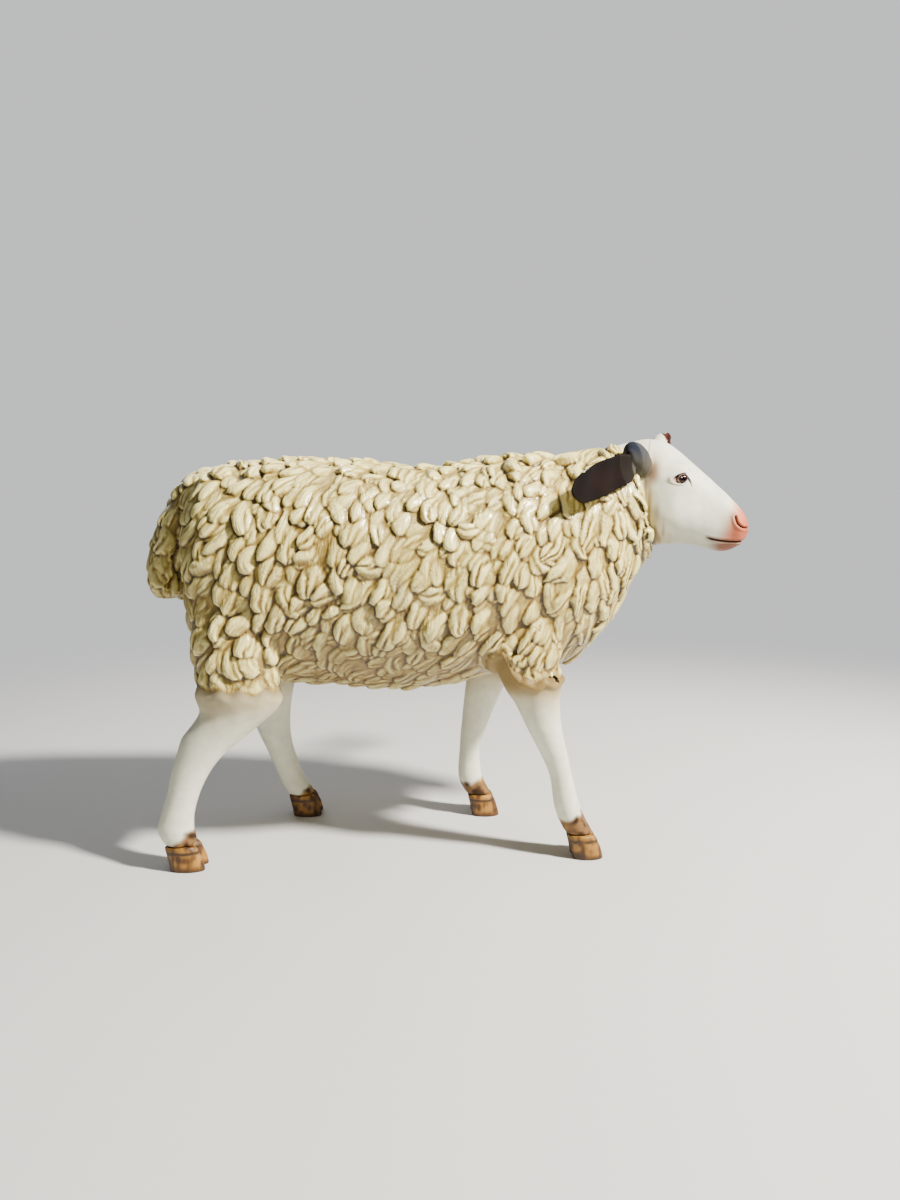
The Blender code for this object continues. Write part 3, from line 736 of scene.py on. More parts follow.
def flow(point, normal):
    """The lie of the coat: backwards and down on the body, down on neck, thighs, chest and tail."""
    px, py, pz = point
    down = np.array([-0.56, 0.0, -0.84])
    if px > 0.12:                                  # the neck hangs steeper
        share = min(1.0, (px - 0.12) / 0.14)
        down = down + np.array([0.38, 0.0, -0.10]) * share
    if px < -0.33 and pz < 0.50:                   # thighs hang straight
        share = min(1.0, (-0.33 - px) / 0.08) * min(1.0, (0.50 - pz) / 0.10)
        down = down + np.array([0.50, 0.0, -0.15]) * share
    if px < -0.50:                                 # rump and tail
        down = down + np.array([0.40, 0.0, -0.4])
    top = max(0.0, normal[2])
    down = down + np.array([-0.15, math.copysign(0.85, py) * min(1.0, abs(py) / 0.03), 0.0]) * top ** 2
    under = max(0.0, -normal[2])
    down = down + np.array([-0.7, 0.0, 0.0]) * under ** 2
    along = down - normal * (down @ normal)
    along /= max(1e-6, np.linalg.norm(along))
    across = np.cross(normal, along)
    swirl = 0.42 * noise.noise(Vector(point) * 7.5)
    swirl += 0.26 * noise.noise(Vector(point) * 19 + Vector((9, 4, 2)))
    along = along * math.cos(swirl) + across * math.sin(swirl)
    return along / np.linalg.norm(along)


def inside_head(places):
    """Whether a place lies within the skull, where no lock is wanted."""
    ahead, beside, level = to_head(places).T
    top, bottom, half, _ = read_rows(HEAD, ahead)
    reach = np.hypot(beside / half, (level - (top + bottom) / 2) / ((top - bottom) / 2))
    return (ahead > -0.045) & (reach < 1.0)


def scatter(long_gap, wide_gap, tries):
    """Places for locks, spaced more along the lie than across it."""
    weights = areas * (face_fleece > 0.35) * ~inside_head(centres)
    cell = long_gap * 1.3
    cells, found = {}, []
    for pick in rng.choice(len(areas), size=tries, p=weights / weights.sum()):
        point, normal = centres[pick], face_normals[pick]
        key = tuple(np.floor(point / cell).astype(int))
        size = 0.84 + 0.32 * (0.5 + 0.5 * noise.noise(Vector(point) * 9 + Vector((3, 3, 3))))
        if point[0] > 0.30 or point[0] < -0.56:
            size *= 0.86
        rivals = [other for i in (-1, 0, 1) for j in (-1, 0, 1) for k in (-1, 0, 1)
                  for other in cells.get((key[0] + i, key[1] + j, key[2] + k), ())]
        along = flow(point, normal)
        if rivals:
            gaps = point - np.array([other[0] for other in rivals])
            alike = np.array([other[1] for other in rivals]) @ normal > 0.1
            forward = gaps @ along
            sideways = np.maximum(0.0, (gaps * gaps).sum(1) - forward ** 2)
            reach = (forward / (long_gap * size)) ** 2 + sideways / (wide_gap * size) ** 2
            if (reach[alike] < 1).any():
                continue
        cells.setdefault(key, []).append((point, normal))
        found.append((point, normal, along, size))
    return found


STEPS = 15                                      # rings along a lock
TOP, LOW = 15, 5                                # points across a lock's crown and across its underside
ring_across = np.concatenate([-np.cos(np.linspace(0, math.pi, TOP)),
                              0.8 * np.cos(np.linspace(0, math.pi, LOW + 2)[1:-1])])
ROUND = len(ring_across)
crown = np.arange(ROUND) < TOP
steps = np.linspace(0, 1, STEPS)
lock_rings, lock_path, lock_side, lock_line, lock_tone = [], [], [], [], []
lock_base, lock_up, lock_cover = [], [], []


def lock(start, along, length, half_width, tall, bend, lobes, tone):
    """One carved lock: rooted in the bed, rising to a proud tip, cut lengthwise into its lobes."""
    place, place_normal, share_here = on_skin(start)
    direction = along - place_normal * (along @ place_normal)
    direction /= np.linalg.norm(direction)
    path, path_normals, cover = [], [], []
    free = False
    wriggle = rng.normal(0, 1.3)
    stride = length / (STEPS - 1)
    for step in range(STEPS):
        path.append(place)
        path_normals.append(place_normal)
        cover.append(share_here)
        side = np.cross(place_normal, direction)
        turn = bend / STEPS * (0.1 + 2.2 * steps[step] ** 2)
        turn += wriggle / STEPS * math.cos(2 * math.pi * steps[step])
        direction = direction * math.cos(turn) + side * math.sin(turn)
        if free:
            place = place + direction * stride
            continue
        direction = direction - place_normal * (direction @ place_normal)
        direction /= np.linalg.norm(direction)
        if share_here < 0.03:
            place = place + direction * stride * 0.15
            continue
        ahead, ahead_normal, ahead_share = on_skin(place + direction * stride)
        if step > 7 and place_normal[2] > -0.62 > ahead_normal[2] and abs(place[1]) > 0.08:
            free = True
            place = place + direction * stride
        else:
            place, place_normal, share_here = ahead, ahead_normal, ahead_share
    path, path_normals, cover = np.array(path), np.array(path_normals), np.array(cover)
    path_normals[1:-1] = (path_normals[:-2] + path_normals[1:-1] + path_normals[2:]) / 3
    path_normals /= np.linalg.norm(path_normals, axis=1)[:, None]
    tangents = np.gradient(path, axis=0)
    tangents /= np.maximum(1e-9, np.linalg.norm(tangents, axis=1))[:, None]
    sides = np.cross(path_normals, tangents)
    widest = rng.uniform(0.56, 0.72)
    past = np.maximum(0, steps - widest) / (1 - widest)
    wide = np.where(steps < widest, 0.50 + 0.50 * np.sin(math.pi / 2 * steps / widest),
                    np.clip(1 - past ** rng.uniform(2.0, 3.4), 0, 1) ** 0.45)
    peak = rng.uniform(0.74, 0.88)
    rise = np.where(steps < peak, np.sin(math.pi / 2 * steps / peak) ** rng.uniform(1.2, 2.4),
                    0.60 + 0.40 * np.sqrt(np.clip(1 - ((steps - peak) / (1 - peak)) ** 2, 0, 1)))
    upper = -0.0020 + (tall + 0.0020) * rise * np.clip(cover * 1.1 + 0.06, 0, 1)
    lower = -0.0045 + 0.0050 * steps ** 2
    # crown: a slow rise from the front edge and a steep drop at the rear one, cut by grooves between lobes
    rear = -1.0 if sides[STEPS // 2][0] > 0 else 1.0
    ridge = rng.uniform(0.15, 0.50)
    towards_rear = rear * ring_across
    dome = np.where(towards_rear < ridge,
                    np.sin(math.pi / 2 * np.clip((towards_rear + 1) / (ridge + 1), 0, 1)) ** 0.85,
                    np.sqrt(np.clip(1 - np.abs((towards_rear - ridge) / (1 - ridge)) ** 2.6, 0, 1)))
    cuts = np.zeros((STEPS, ROUND))
    for number in range(1, lobes):
        middle = 2 * number / lobes - 1 + rng.uniform(-0.22, 0.22)
        sway = middle + rng.uniform(-0.55, 0.55) * (steps - 0.6)
        sway = sway + 0.14 * np.sin(steps * 5 + rng.uniform(0, 6.3))
        first = rng.uniform(0.10, 0.45)
        cuts += (np.exp(-((ring_across[None, :] - sway[:, None]) / 0.14) ** 2) * rng.uniform(0.45, 0.95)
                 * ramp(steps, first, first + 0.25)[:, None])
    top_level = lower[:, None] + (upper - lower)[:, None] * dome[None, :] * (1 - 0.46 * np.clip(cuts, 0, 1.1))
    level = np.where(crown[None, :], top_level, lower[:, None] - 0.0006)
    ends = np.sqrt(np.clip(1 - (np.clip(steps - 0.90, 0, 1) / 0.10) ** 2, 0, 1)) * np.minimum(1, steps / 0.04)
    level = lower[:, None] + 0.0010 + (level - lower[:, None] - 0.0010) * ends[:, None]
    wide = wide * np.minimum(1, steps / 0.04)
    lateral = (half_width * wide)[:, None] * ring_across[None, :]
    notch = -length * (0.07 * cuts + 0.05 * ring_across[None, :] ** 2) * ramp(steps, 0.62, 1.0)[:, None]
    lock_rings.append(path[:, None, :] + sides[:, None, :] * lateral[:, :, None]
                      + path_normals[:, None, :] * level[:, :, None]
                      + tangents[:, None, :] * notch[:, :, None])
    lock_path.append(path + path_normals * (upper * 0.7)[:, None])
    lock_base.append(path)
    lock_up.append(path_normals)
    lock_cover.append(cover)
    lock_side.append(sides)
    lock_line.append(steps * length)
    lock_tone.append(tone)


# low locks that fill the bed between the proud ones
for point, normal, along, size in scatter(*LOW_GAPS, 30000):
    across = np.cross(normal, along)
    twist = rng.normal(0, 0.35)
    heading = along * math.cos(twist) + across * math.sin(twist)
    length = LOW_LENGTH * size * rng.uniform(0.85, 1.2)
    lock(point - heading * length * 0.5, heading, length, LOW_HALF_WIDTH * size * rng.uniform(0.80, 1.15),
         COAT_DEPTH * rng.uniform(0.34, 0.60), rng.normal(0, 0.6), rng.choice([1, 2]), rng.uniform(-1, 1))

# proud locks of one to three lobes
for point, normal, along, size in scatter(*PROUD_GAPS, 60000):
    neck_share = float(ramp(point[0], 0.14, 0.26))
    lobes = rng.choice([1, 2, 3], p=[0.34, 0.44, 0.22])
    half_width = size * rng.uniform(0.88, 1.14) * LOBE_WIDTHS[lobes - 1] * (1 + 0.06 * neck_share)
    length = size * rng.uniform(0.076, 0.106) * (1 + 0.34 * neck_share)
    calm = 1 - 0.42 * float(ramp(noise.noise(Vector(point) * 6.5 + Vector((3, 8, 1))), 0.05, 0.40))
    on_back = ramp(point[0], -0.53, -0.40) * ramp(0.30 - point[0], 0.0, 0.06)
    spine = 1 + 0.60 * float(ramp(normal[2], 0.72, 0.96) * on_back)
    bend = rng.normal(0.15, 1.00 + 0.45 * neck_share)
    lock(point - along * length * 0.55, along, length, half_width,
         COAT_DEPTH * spine * calm * rng.uniform(0.74, 1.28), bend, lobes, rng.uniform(-1, 1))

rings = np.array(lock_rings)
count = len(rings)
verts = rings.reshape(-1, 3)


def warp(places):
    """A soft sideways drift that every lock shares with its neighbours: the hand of the carver."""
    wave = np.stack([field(places * np.array([1.0, 1.0, 0.8]), 24, seed) for seed in (21.0, 37.0, 53.0)], 1)
    ripple = np.stack([field(places, 58, seed) for seed in (23.0, 41.0, 59.0)], 1)
    strength = 1 + 0.5 * ramp(places[:, 0], 0.14, 0.26)
    return (0.0075 * wave + 0.0030 * ripple) * strength[:, None]


uprights = np.repeat(np.array(lock_up), ROUND, axis=1).reshape(-1, 3)
drift = warp(verts)
drift -= uprights * (drift * uprights).sum(1)[:, None]
verts = verts + drift
paths = np.array(lock_path).reshape(-1, 3)
paths = paths + warp(paths)
row, step = np.meshgrid(np.arange(STEPS - 1), np.arange(ROUND), indexing="ij")
near, far = row * ROUND + step, row * ROUND + (step + 1) % ROUND
one = np.stack([near, far, far + ROUND, near + ROUND], -1).reshape(-1, 4)
quads = (one[None] + (np.arange(count) * STEPS * ROUND)[:, None, None]).reshape(-1, 4)
core = bed_points + vertex_normals * (-0.0030 + 0.0048 * ramp(fleece, 0.25, 0.85))[:, None]


def quad_object(name, verts, quads):
    """A piece made of four-sided faces, straight from arrays."""
    mesh = bpy.data.meshes.new(name)
    mesh.vertices.add(len(verts))
    mesh.vertices.foreach_set("co", np.ascontiguousarray(verts, dtype=np.float32).ravel())
    mesh.loops.add(quads.size)
    mesh.loops.foreach_set("vertex_index", np.ascontiguousarray(quads, dtype=np.int32).ravel())
    mesh.polygons.add(len(quads))
    mesh.polygons.foreach_set("loop_start", np.arange(0, quads.size, 4, dtype=np.int32))
    mesh.update(calc_edges=True)
    return add_object(name, mesh)


whole = quad_object("locks", np.concatenate([verts, core]), np.concatenate([quads, bed_faces + len(verts)]))
remesh(whole, COAT_GRAIN, 2)
points, outward = coords(whole), normals(whole)
quads = np.empty(len(whole.data.polygons) * 4, dtype=int)
whole.data.loops.foreach_get("vertex_index", quads)
quads = quads.reshape(-1, 4)
bpy.data.objects.remove(whole, do_unlink=True)

# each point knows its lobe, its place on it and how far it stands over the skin
finder = KDTree(len(paths))
for i, point in enumerate(paths):
    finder.insert(point, i)
finder.balance()
found = [finder.find(point) for point in points]
nearest, reach = np.array([one[1] for one in found]), np.array([one[2] for one in found])
up = np.array(lock_up).reshape(-1, 3)[nearest]
height = ((points - np.array(lock_base).reshape(-1, 3)[nearest]) * up).sum(1)
cover = np.array(lock_cover).ravel()[nearest]
across = ((points - paths[nearest]) * np.array(lock_side).reshape(-1, 3)[nearest]).sum(1)
along = np.array(lock_line).ravel()[nearest]
tone = np.array(lock_tone)[nearest // STEPS]

# at a hem the relief runs out into the skin
cover = np.minimum(cover + 0.35, fleece_share(points - up * height[:, None]))
flush = 1 - ramp(cover, 0.14, 0.72)
sink = np.clip(height + 0.0026, 0, None) * flush
points = points - up * sink[:, None]
height = height - sink
outward = outward * (1 - flush)[:, None] + up * flush[:, None]
outward /= np.linalg.norm(outward, axis=1)[:, None]

# only what stands over the skin is kept; its rim dips under the skin
standing = ((height > -0.0012) & (reach < 0.030)) | (reach < 0.011)
kept = standing[quads].any(1)
used = np.unique(quads[kept])
fresh = np.full(len(points), -1)
fresh[used] = np.arange(len(used))
quads = fresh[quads[kept]]
points, outward, height, cover, up = points[used], outward[used], height[used], cover[used], up[used]
across, along, tone = across[used], along[used], tone[used]

# the mesh's edges, both ways, to average each point with its neighbours
edges = np.concatenate([quads[:, [0, 1]], quads[:, [1, 2]], quads[:, [2, 3]], quads[:, [3, 0]]])
ends = np.concatenate([edges, edges[:, ::-1]])
valence = np.bincount(ends[:, 0], minlength=len(points))


def spread(values, times):
    """Each point's mean over its neighbours, taken a number of times."""
    for _ in range(times):
        values = np.stack([np.bincount(ends[:, 0], weights=column[ends[:, 1]], minlength=len(points))
                           for column in values.T], 1) / valence[:, None]
    return values


# the edge of the relief is smoothed along a hem
soft = (1 - ramp(cover, 0.45, 0.95))[:, None]
points = points + (spread(points, 9) - points) * soft
outward = outward + (spread(outward, 9) - outward) * soft

# hollows and crests, at the size of a groove and at the size of a lock
near_mean = spread(points, 4)
wide_mean = spread(near_mean, 14)
groove = ((near_mean - points) * outward).sum(1)        # over 0 in a hollow
basin = ((wide_mean - points) * outward).sum(1)


def lock_paint():
    """Cream crests over an ochre wash that stays in the grooves, with grey weather stains, and painted shade
    and highlight by which way each lock's side faces the key lamp.
    """
    broad = field(points, 5.5, 2.0)
    middle = field(points, 21, 6.0)
    streak = field(np.stack([across * 150, along * 22, tone * 9 + height * 60], 1), 1.0, 4.0)
    x, y, level = points.T
    ochre = 0.40 + 0.50 * broad + 0.38 * middle
    ochre += 0.30 * (1 - ramp(level, 0.34, 0.44))
    ochre += 0.45 * bump(np.hypot(x - 0.12, (level - 0.47) * 1.1), 0.15)
    ochre += 0.25 * bump(np.hypot(x + 0.27, level - 0.50), 0.14) - 0.25 * ramp(level, 0.62, 0.80)
    ochre += 0.16 * ramp(x, 0.0, 0.14)
    below = ramp(-up[:, 2], 0.15, 0.85)
    ochre = np.clip(ochre + 0.35 * ramp(-x, 0.535, 0.575) + 0.4 * below, 0, 1)
    # painted shade and highlight: the sides of the locks that face down and back, away from the key lamp,
    # take more of the wash, and the sides that face the lamp more of the pale crest colour
    under = ramp((outward - 0.55 * up) @ np.array((-0.50, 0.0, -0.86)), -0.40, 0.45)
    hollow = groove / GROOVE_DEPTH * (0.65 + 0.70 * under) + 0.50 * basin / BASIN_DEPTH
    hollow = hollow + 0.9 * streak + 1.2 * (under - 0.40)
    crest = -hollow
    coat_paint = Paint(CREAM, points)
    coat_paint.dab(STRAW, 0.45 * ochre)
    coat_paint.dab(CREST_AND_HIGHLIGHT, ramp(crest, -0.1, 1.2) * (1.0 - 0.35 * ochre))
    coat_paint.dab(STRAW, ramp(hollow, -0.10, 0.9) * (0.50 + 0.45 * ochre))
    coat_paint.dab(OCHRE, ramp(hollow, 0.5, 1.6) * (0.38 + 0.62 * ochre))
    # the darkest colour in the deepest grooves and undercuts, partly the wash and partly painted shade
    coat_paint.dab(GROOVE_WASH_AND_SHADE, ramp(hollow, 1.1, 2.5) * 0.92)
    coat_paint.dab(OCHRE, np.maximum((1 - ramp(height, 0.0005, 0.0040)) * 0.5, 0.30 * below))
    dirt = bump(np.hypot((x + 0.085) / 0.11, (level - 0.545) / 0.085), 0.9)
    dirt = dirt * ramp(middle + 0.5 * broad, -0.15, 0.5)
    coat_paint.dab((0.30, 0.275, 0.225), 0.45 * dirt)
    seam = bump(x + 0.242 + 0.004 * np.sin(level * 22), 0.0016) * ramp(level, 0.42, 0.50)
    coat_paint.dab(STRAW, 0.65 * seam)
    hem = 1 - ramp(cover, 0.25, 0.95)
    coat_paint.dab(HEM_BEIGE, np.where(x > MID_LEGS, 0.85, 0.55) * hem)
    return coat_paint.colours * (1 + 0.05 * tone + 0.05 * middle)[:, None]


colours = lock_paint()


def tail_reach(places):
    """How far a place is from the tail's middle line, in units of the tail's own half sizes."""
    middle, half_x, half_y = read_rows(TAIL, places[:, 2])
    return np.hypot((places[:, 0] - middle) / half_x, places[:, 1] / half_y)


NECK_AXIS = np.array([0.93, 0.0, 0.34]) / math.hypot(0.93, 0.34)
NECK_UP = np.array([-NECK_AXIS[2], 0.0, NECK_AXIS[0]])


def unwrap(kind, places):
    """The coat's own unwrap: round the body and along it, or spread out from the middle of the rump."""
    if kind == "rump":
        rel = places - np.array([-0.36, 0.0, 0.58])
        polar = np.arctan2(np.hypot(rel[:, 1], rel[:, 2]), -rel[:, 0])
        around = np.arctan2(rel[:, 2], rel[:, 1])
        return np.stack([polar * np.cos(around), polar * np.sin(around)], 1)
    if kind == "tail":
        rel = places - np.array([-0.56, 0.0, 0.0])
        return np.stack([np.arctan2(rel[:, 0] * 1.6, rel[:, 1]), places[:, 2]], 1)
    if kind == "neck":
        rel = places - np.array([0.12, 0.0, 0.60])
        return np.stack([rel @ NECK_AXIS, np.arctan2(rel @ NECK_UP, rel[:, 1])], 1)
    rel = places - np.array([0.0, 0.0, 0.58])
    return np.stack([places[:, 0], np.arctan2(rel[:, 2], rel[:, 1])], 1)


CUTS = (-0.42, -0.24, -0.06, 0.12)      # x of the planes between the pieces of the coat
middles = points[quads].mean(1)
place_x, place_y = middles[:, 0], middles[:, 1]
in_tail = (tail_reach(middles) < 1.25) & (place_x < -0.50) & (np.abs(place_y) < 0.12) & (middles[:, 2] < 0.80)
groups = {"tail": in_tail}
for label, sided in (("left", place_y >= 0), ("right", place_y < 0)):
    free = sided & ~in_tail
    groups[f"rump_{label}"] = free & (place_x < CUTS[0])
    for number, (a, b) in enumerate(zip(CUTS[:-1], CUTS[1:])):
        groups[f"flank_{label}_{number + 1}"] = free & (place_x >= a) & (place_x < b)
    groups[f"neck_{label}"] = free & (place_x >= CUTS[-1])

coat = []
for label, mask in groups.items():
    own = quads[mask]
    used, local = np.unique(own, return_inverse=True)
    piece = quad_object(f"coat_{label}", points[used], local.reshape(-1, 4))
    mesh = piece.data
    put_colour(piece, colours[used])
    put_values(piece, "along", along[used])
    put_values(piece, "across", across[used])
    flat = unwrap(label.split("_")[0], points[used])
    turn = flat[:, 1] if label.startswith(("flank", "neck")) else flat[:, 0]
    if label.startswith(("flank_right", "neck_right")):
        flat[:, 1] = np.where(turn < 0, turn + 2 * math.pi, turn)
    flat = 0.006 + 0.988 * (flat - flat.min(0)) / (flat.max(0) - flat.min(0))
    layer = mesh.uv_layers.new(name="OFBake")
    loops = np.empty(len(mesh.loops), dtype=int)
    mesh.loops.foreach_get("vertex_index", loops)
    layer.data.foreach_set("uv", flat[loops].ravel())
    mesh.normals_split_custom_set_from_vertices(outward[used].tolist())
    coat.append(piece)


# ---------------------------------------------------------------- hooves and eyes
def toe(x, y, side, scale):
    """One claw of a cloven hoof: flat below, sloping in to the coronet."""
    rings = []
    for level, shift, along, across in (
            (0.000, 0.012, 0.0325, 0.0148), (0.003, 0.012, 0.0345, 0.0160), (0.012, 0.0105, 0.0345, 0.0162),
            (0.026, 0.007, 0.0335, 0.0162), (0.037, 0.003, 0.0320, 0.0160), (0.041, 0.002, 0.0322, 0.0164),
            (0.0455, 0.000, 0.0310, 0.0160), (0.050, -0.002, 0.0290, 0.0150)):
        ring = []
        for c, n in circle(48):
            narrow = 1 - 0.20 * max(0.0, c) ** 2
            ring.append(Vector((x + shift + along * scale * math.copysign(abs(c) ** 0.9, c),
                                y + side * 0.0163 + side * 0.0012 * c + across * narrow * n, level)))
        rings.append(ring)
    return loft("toe", rings)


hooves = {}
for name, (x, y, scale) in HOOF_PLACE.items():
    core = loft("core", [[Vector((x - 0.004 + 0.020 * scale * c, y + 0.020 * n, level))
                          for c, n in circle(32)] for level in (0.010, 0.030, 0.048)])
    piece = fuse(f"hoof_{name}_horn", [toe(x, y, 1, scale), toe(x, y, -1, scale), core], HOOF_GRAIN, 3)
    points = coords(piece)
    points[:, 2] = np.maximum(points[:, 2] - 0.0004, 0.0)
    set_coords(piece, points)
    points = coords(piece)
    mottle, streak = field(points, 60, 4.0), field(points * np.array([1, 1, 0.2]), 160, 8.0)
    horn = Paint(HOOF_BROWN, points)
    level = points[:, 2] + 0.0016 * mottle + 0.0012 * streak
    horn.dab(RUST_LIGHT, ramp(mottle + 0.5 * streak, -0.25, 0.35) * ramp(level, 0.004, 0.016))
    # painted shade: dark in the coronet groove, in the cleft between the claws and towards the heel; darker
    # along the ground; the dark mottles are the paint's own
    horn.dab(HOOF_DARK_AND_SHADE, bump(level - 0.0385, 0.0042) * (0.55 + 0.45 * ramp(mottle, -0.4, 0.2)))
    horn.dab(HOOF_DARK_AND_SHADE, (1 - ramp(level, 0.0, 0.013)) * 0.75)
    horn.dab(HOOF_DARK_AND_SHADE, bump(points[:, 1] - y, 0.0032) * 0.95)
    horn.dab(HOOF_DARK_AND_SHADE, ramp(-mottle - 0.6 * streak, 0.05, 0.55) * 0.8)
    horn.dab(HOOF_DARK_AND_SHADE, ramp(x - 0.006 - points[:, 0], 0.0, 0.022) * 0.6)
    put_colour(piece, horn.colours)
    hooves[name] = piece

eyes = {}
for name, side in (("left", 1), ("right", -1)):
    bm = bmesh.new()
    bmesh.ops.create_uvsphere(bm, u_segments=64, v_segments=48, radius=EYE_RADIUS)
    mesh = bpy.data.meshes.new(f"eyeball_{name}")
    bm.to_mesh(mesh)
    bm.free()
    ball = add_object(f"eyeball_{name}", mesh)
    points = coords(ball) / EYE_RADIUS
    gaze = Vector((0.16, side, 0.02)).normalized()
    a = points @ np.array(Vector((side, -0.16, 0)).normalized())
    b = points[:, 2] - gaze.z
    front = points @ np.array(gaze) > 0
    toward = a * side                       # over 0 towards the nose
    gloss = Paint((0.36, 0.27, 0.24), points)
    gloss.dab((0.17, 0.075, 0.060), ramp(np.hypot(a, b), 0.62, 0.86))
    iris = np.hypot(toward - 0.22, b)
    gloss.dab((0.022, 0.007, 0.006), (1 - ramp(iris, 0.70, 0.80)) * front)
    gloss.dab((0.055, 0.012, 0.010), bump(iris - 0.48, 0.14) * front * ramp(-toward, -0.15, 0.35))
    gloss.dab((0.002, 0.0015, 0.0015), (1 - ramp(np.hypot((toward - 0.18) / 1.15, b), 0.32, 0.38)) * front)
    # painted highlight: a small white glint on the iris
    painted_glint = np.hypot(toward + 0.10, b - 0.26)
    gloss.dab((0.88, 0.86, 0.86), (1 - ramp(painted_glint, 0.06, 0.10)) * front)
    put_colour(ball, gloss.colours)
    mesh.transform(TURN_HEAD @ Matrix.Translation((EYE[0], side * EYE[1], EYE[2])))
    eyes[name] = ball

# ---------------------------------------------------------------- materials
def shader_node(tree, kind, sources, **settings):
    """A new node: each of its sources is a value, or the socket that feeds it."""
    made = tree.nodes.new("ShaderNode" + kind)
    for name, value in settings.items():
        setattr(made, name, value)
    feed(tree, made, sources)
    return made


def feed(tree, node, sources):
    """Sets or links the inputs of a node."""
    for key, value in sources.items():
        if isinstance(value, bpy.types.NodeSocket):
            tree.links.new(value, node.inputs[key])
        else:
            node.inputs[key].default_value = value


def painted(name, roughness, wear, grain, coat_weight=0.0, strands_bump=False, specular=0.4):
    """Satin paint that takes its colour from the piece, worn and dusted a little by noise."""
    mat = bpy.data.materials.new(name)
    mat.use_nodes = True
    tree = mat.node_tree
    shader = tree.nodes["Principled BSDF"]
    place = tree.nodes.new("ShaderNodeTexCoord").outputs["Object"]

    def from_piece(attribute, output="Fac"):
        return shader_node(tree, "Attribute", {}, attribute_name=attribute).outputs[output]

    def noise_texture(scale, detail, vector):
        made = shader_node(tree, "TexNoise", {"Scale": scale, "Detail": detail, "Vector": vector})
        return made.outputs["Fac"]

    spots = noise_texture(55, 6, place)
    level = shader_node(tree, "MapRange", {"From Min": 0.3, "From Max": 0.75, "To Min": 1 - wear,
                                           "To Max": 1 + wear * 0.6, "Value": spots})
    tint = shader_node(tree, "VectorMath", {0: from_piece("paint", "Color"),
                                            "Scale": level.outputs["Result"]}, operation="SCALE")
    rough = shader_node(tree, "MapRange", {"To Min": roughness - 0.07, "To Max": roughness + 0.13,
                                           "Value": spots})
    dull = shader_node(tree, "Math", {0: rough.outputs["Result"], 1: from_piece("matte")},
                       operation="MAXIMUM")
    relief = shader_node(tree, "Bump", {"Strength": grain, "Distance": 0.0012,
                                        "Height": noise_texture(260, 3, place)})
    if strands_bump:               # fine carved lines along each lock
        lines = shader_node(tree, "CombineXYZ", {"X": from_piece("across"), "Y": from_piece("along")})
        move = shader_node(tree, "VectorMath", {0: place, "Scale": 14}, operation="SCALE")
        stretch = shader_node(tree, "VectorMath", {0: lines.outputs["Vector"], 1: (95.0, 14.0, 1.0),
                                                   2: move.outputs["Vector"]}, operation="MULTIPLY_ADD")
        relief = shader_node(tree, "Bump", {"Strength": 0.9, "Distance": 0.0045,
                                            "Height": noise_texture(1.6, 2, stretch.outputs["Vector"]),
                                            "Normal": relief.outputs["Normal"]})
    feed(tree, shader, {"Roughness": roughness, "Coat Weight": coat_weight, "Coat Roughness": 0.20,
                        "Specular IOR Level": specular})
    feed(tree, shader, {"Base Color": tint.outputs["Vector"], "Roughness": dull.outputs["Value"],
                        "Normal": relief.outputs["Normal"]})
    return mat


skin.data.materials.clear()
skin.data.materials.append(painted("skin_paint", 0.46, 0.10, 0.12, specular=0.20))
lock_material = painted("lock_paint", 0.38, 0.16, 0.25, 0.45, strands_bump=True)
for piece in coat:
    piece.data.materials.append(lock_material)
horn_material = painted("hoof_paint", 0.48, 0.22, 0.45, 0.05)
for piece in hooves.values():
    piece.data.materials.clear()
    piece.data.materials.append(horn_material)
eye_material = painted("eye_gloss", 0.14, 0.03, 0.0)
for piece in eyes.values():
    piece.data.materials.append(eye_material)

# ---------------------------------------------------------------- into the part's frame
skin.name = "skin"
everything = [skin] + coat + list(hooves.values()) + list(eyes.values())
for piece in everything:
    piece.data.transform(Matrix.Translation(SHIFT))
    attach(piece, "root")
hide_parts("trunk", "neck", "head", "tail", "ear_left", "ear_right",
            "leg_fore_left", "leg_fore_right", "leg_hind_left", "leg_hind_right")
for name, piece in hooves.items():
    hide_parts(f"hoof_{name}")
for name, piece in eyes.items():
    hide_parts(f"eye_{name}")

# ---------------------------------------------------------------- floor, light, camera
floor_mesh = bpy.data.meshes.new("floor")
floor_mesh.from_pydata([(-6, -6, 0), (6, -6, 0), (6, 6, 0), (-6, 6, 0)], [], [(0, 1, 2, 3)])
floor = add_object("floor", floor_mesh)
floor_material = bpy.data.materials.new("floor_pale")
floor_material.use_nodes = True
tree = floor_material.node_tree
feed(tree, tree.nodes["Principled BSDF"], {"Base Color": (0.66, 0.66, 0.65, 1), "Roughness": 0.85,
                                           "Specular IOR Level": 0.1})
from_middle = tree.nodes.new("ShaderNodeTexCoord").outputs["Object"]
distance = shader_node(tree, "VectorMath", {0: from_middle}, operation="LENGTH").outputs["Value"]
fade = shader_node(tree, "MapRange", {"From Min": 1.1, "From Max": 3.2, "Value": distance},
                   interpolation_type="SMOOTHSTEP")
clear = shader_node(tree, "BsdfTransparent", {})
blend = shader_node(tree, "MixShader", {"Fac": fade.outputs["Result"], 2: clear.outputs["BSDF"],
                                        1: tree.nodes["Principled BSDF"].outputs["BSDF"]})
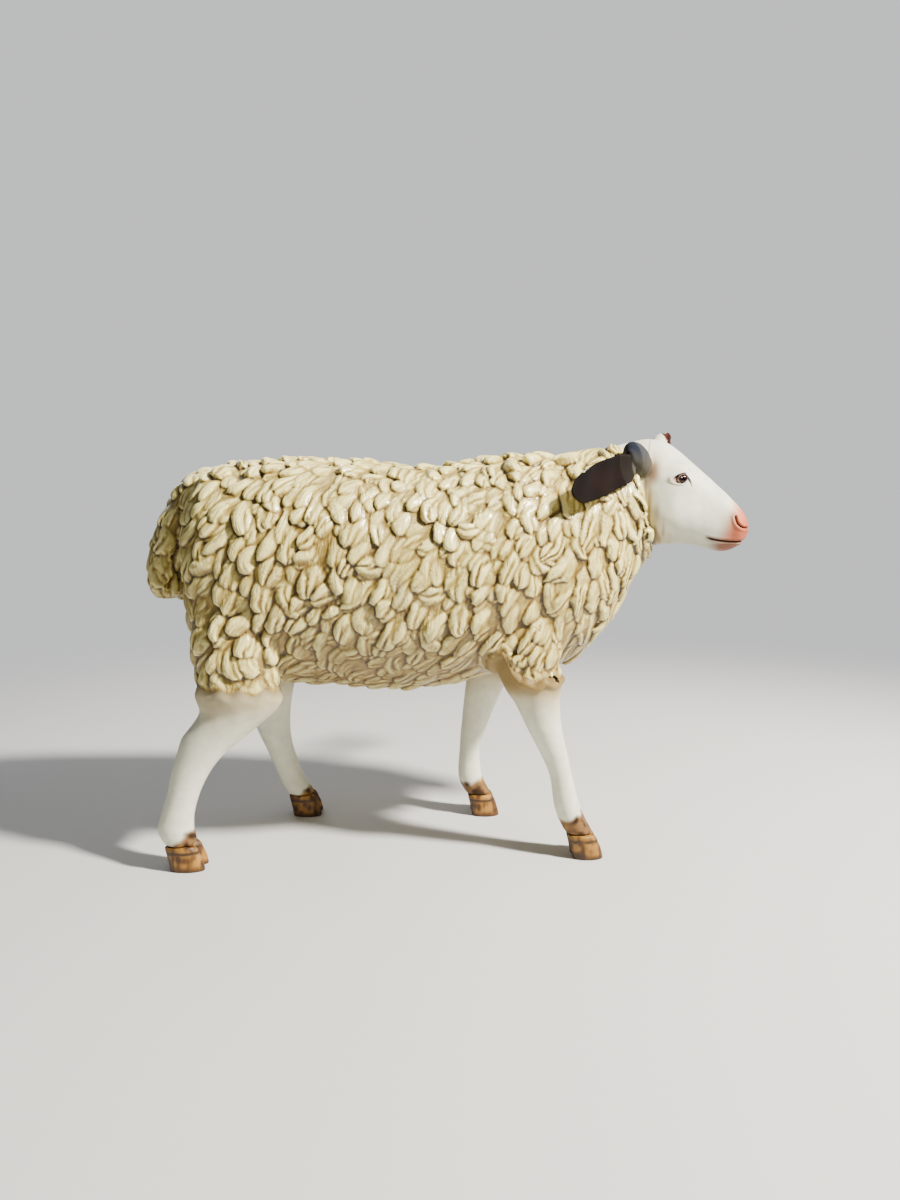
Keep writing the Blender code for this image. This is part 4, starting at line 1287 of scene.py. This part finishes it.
feed(tree, tree.nodes["Material Output"], {"Surface": blend.outputs["Shader"]})
floor_mesh.materials.append(floor_material)

world = bpy.data.worlds.new("studio")
bpy.context.scene.world = world
world.use_nodes = True
tree = world.node_tree
dim = tree.nodes["Background"]
feed(tree, dim, {"Color": (0.90, 0.94, 1.0, 1), "Strength": 0.12})
backdrop = shader_node(tree, "Background", {"Color": (0.97, 0.98, 1.0, 1), "Strength": 0.80})
seen = shader_node(tree, "LightPath", {}).outputs["Is Camera Ray"]
either = shader_node(tree, "MixShader", {"Fac": seen, 1: dim.outputs["Background"],
                                         2: backdrop.outputs["Background"]})
feed(tree, tree.nodes["World Output"], {"Surface": either.outputs["Shader"]})


def lamp(name, place, target, size, power, tint=(1, 1, 1)):
    """A round area light at a place, turned to its target."""
    data = bpy.data.lights.new(name, "AREA")
    data.shape = "DISK"
    data.size = size
    data.energy = power
    data.color = tint
    thing = add_object(name, data)
    thing.location = place
    thing.rotation_euler = (Vector(target) - Vector(place)).to_track_quat("-Z", "Y").to_euler()


lamp("key", (3.0, -1.75, 3.5), (0.05, 0, 0.45), 0.5, 840, (1.0, 0.95, 0.85))
lamp("fill", (-2.6, -3.2, 1.8), (0, 0, 0.45), 2.4, 5, (0.90, 0.95, 1.0))
lamp("top", (-0.4, 0.8, 3.6), (0, 0, 0.5), 2.6, 22)
lamp("rim", (-1.6, 3.0, 1.9), (0, 0, 0.5), 1.6, 30)

CAMERA_TURN = math.radians(3.0)
CAMERA_BACK, CAMERA_HEIGHT, CAMERA_TILT = 1.90, 0.737, math.radians(6.65)
camera_data = bpy.data.cameras.new("camera")
camera_data.lens = 27.0
camera_data.sensor_width = 36.0
camera = add_object("camera", camera_data)
camera.location = (-CAMERA_BACK * math.sin(CAMERA_TURN) + SHIFT.x,
                   -CAMERA_BACK * math.cos(CAMERA_TURN) + SHIFT.y, CAMERA_HEIGHT)
camera.rotation_euler = (math.pi / 2 - CAMERA_TILT, 0.0, -CAMERA_TURN)
bpy.context.scene.camera = camera
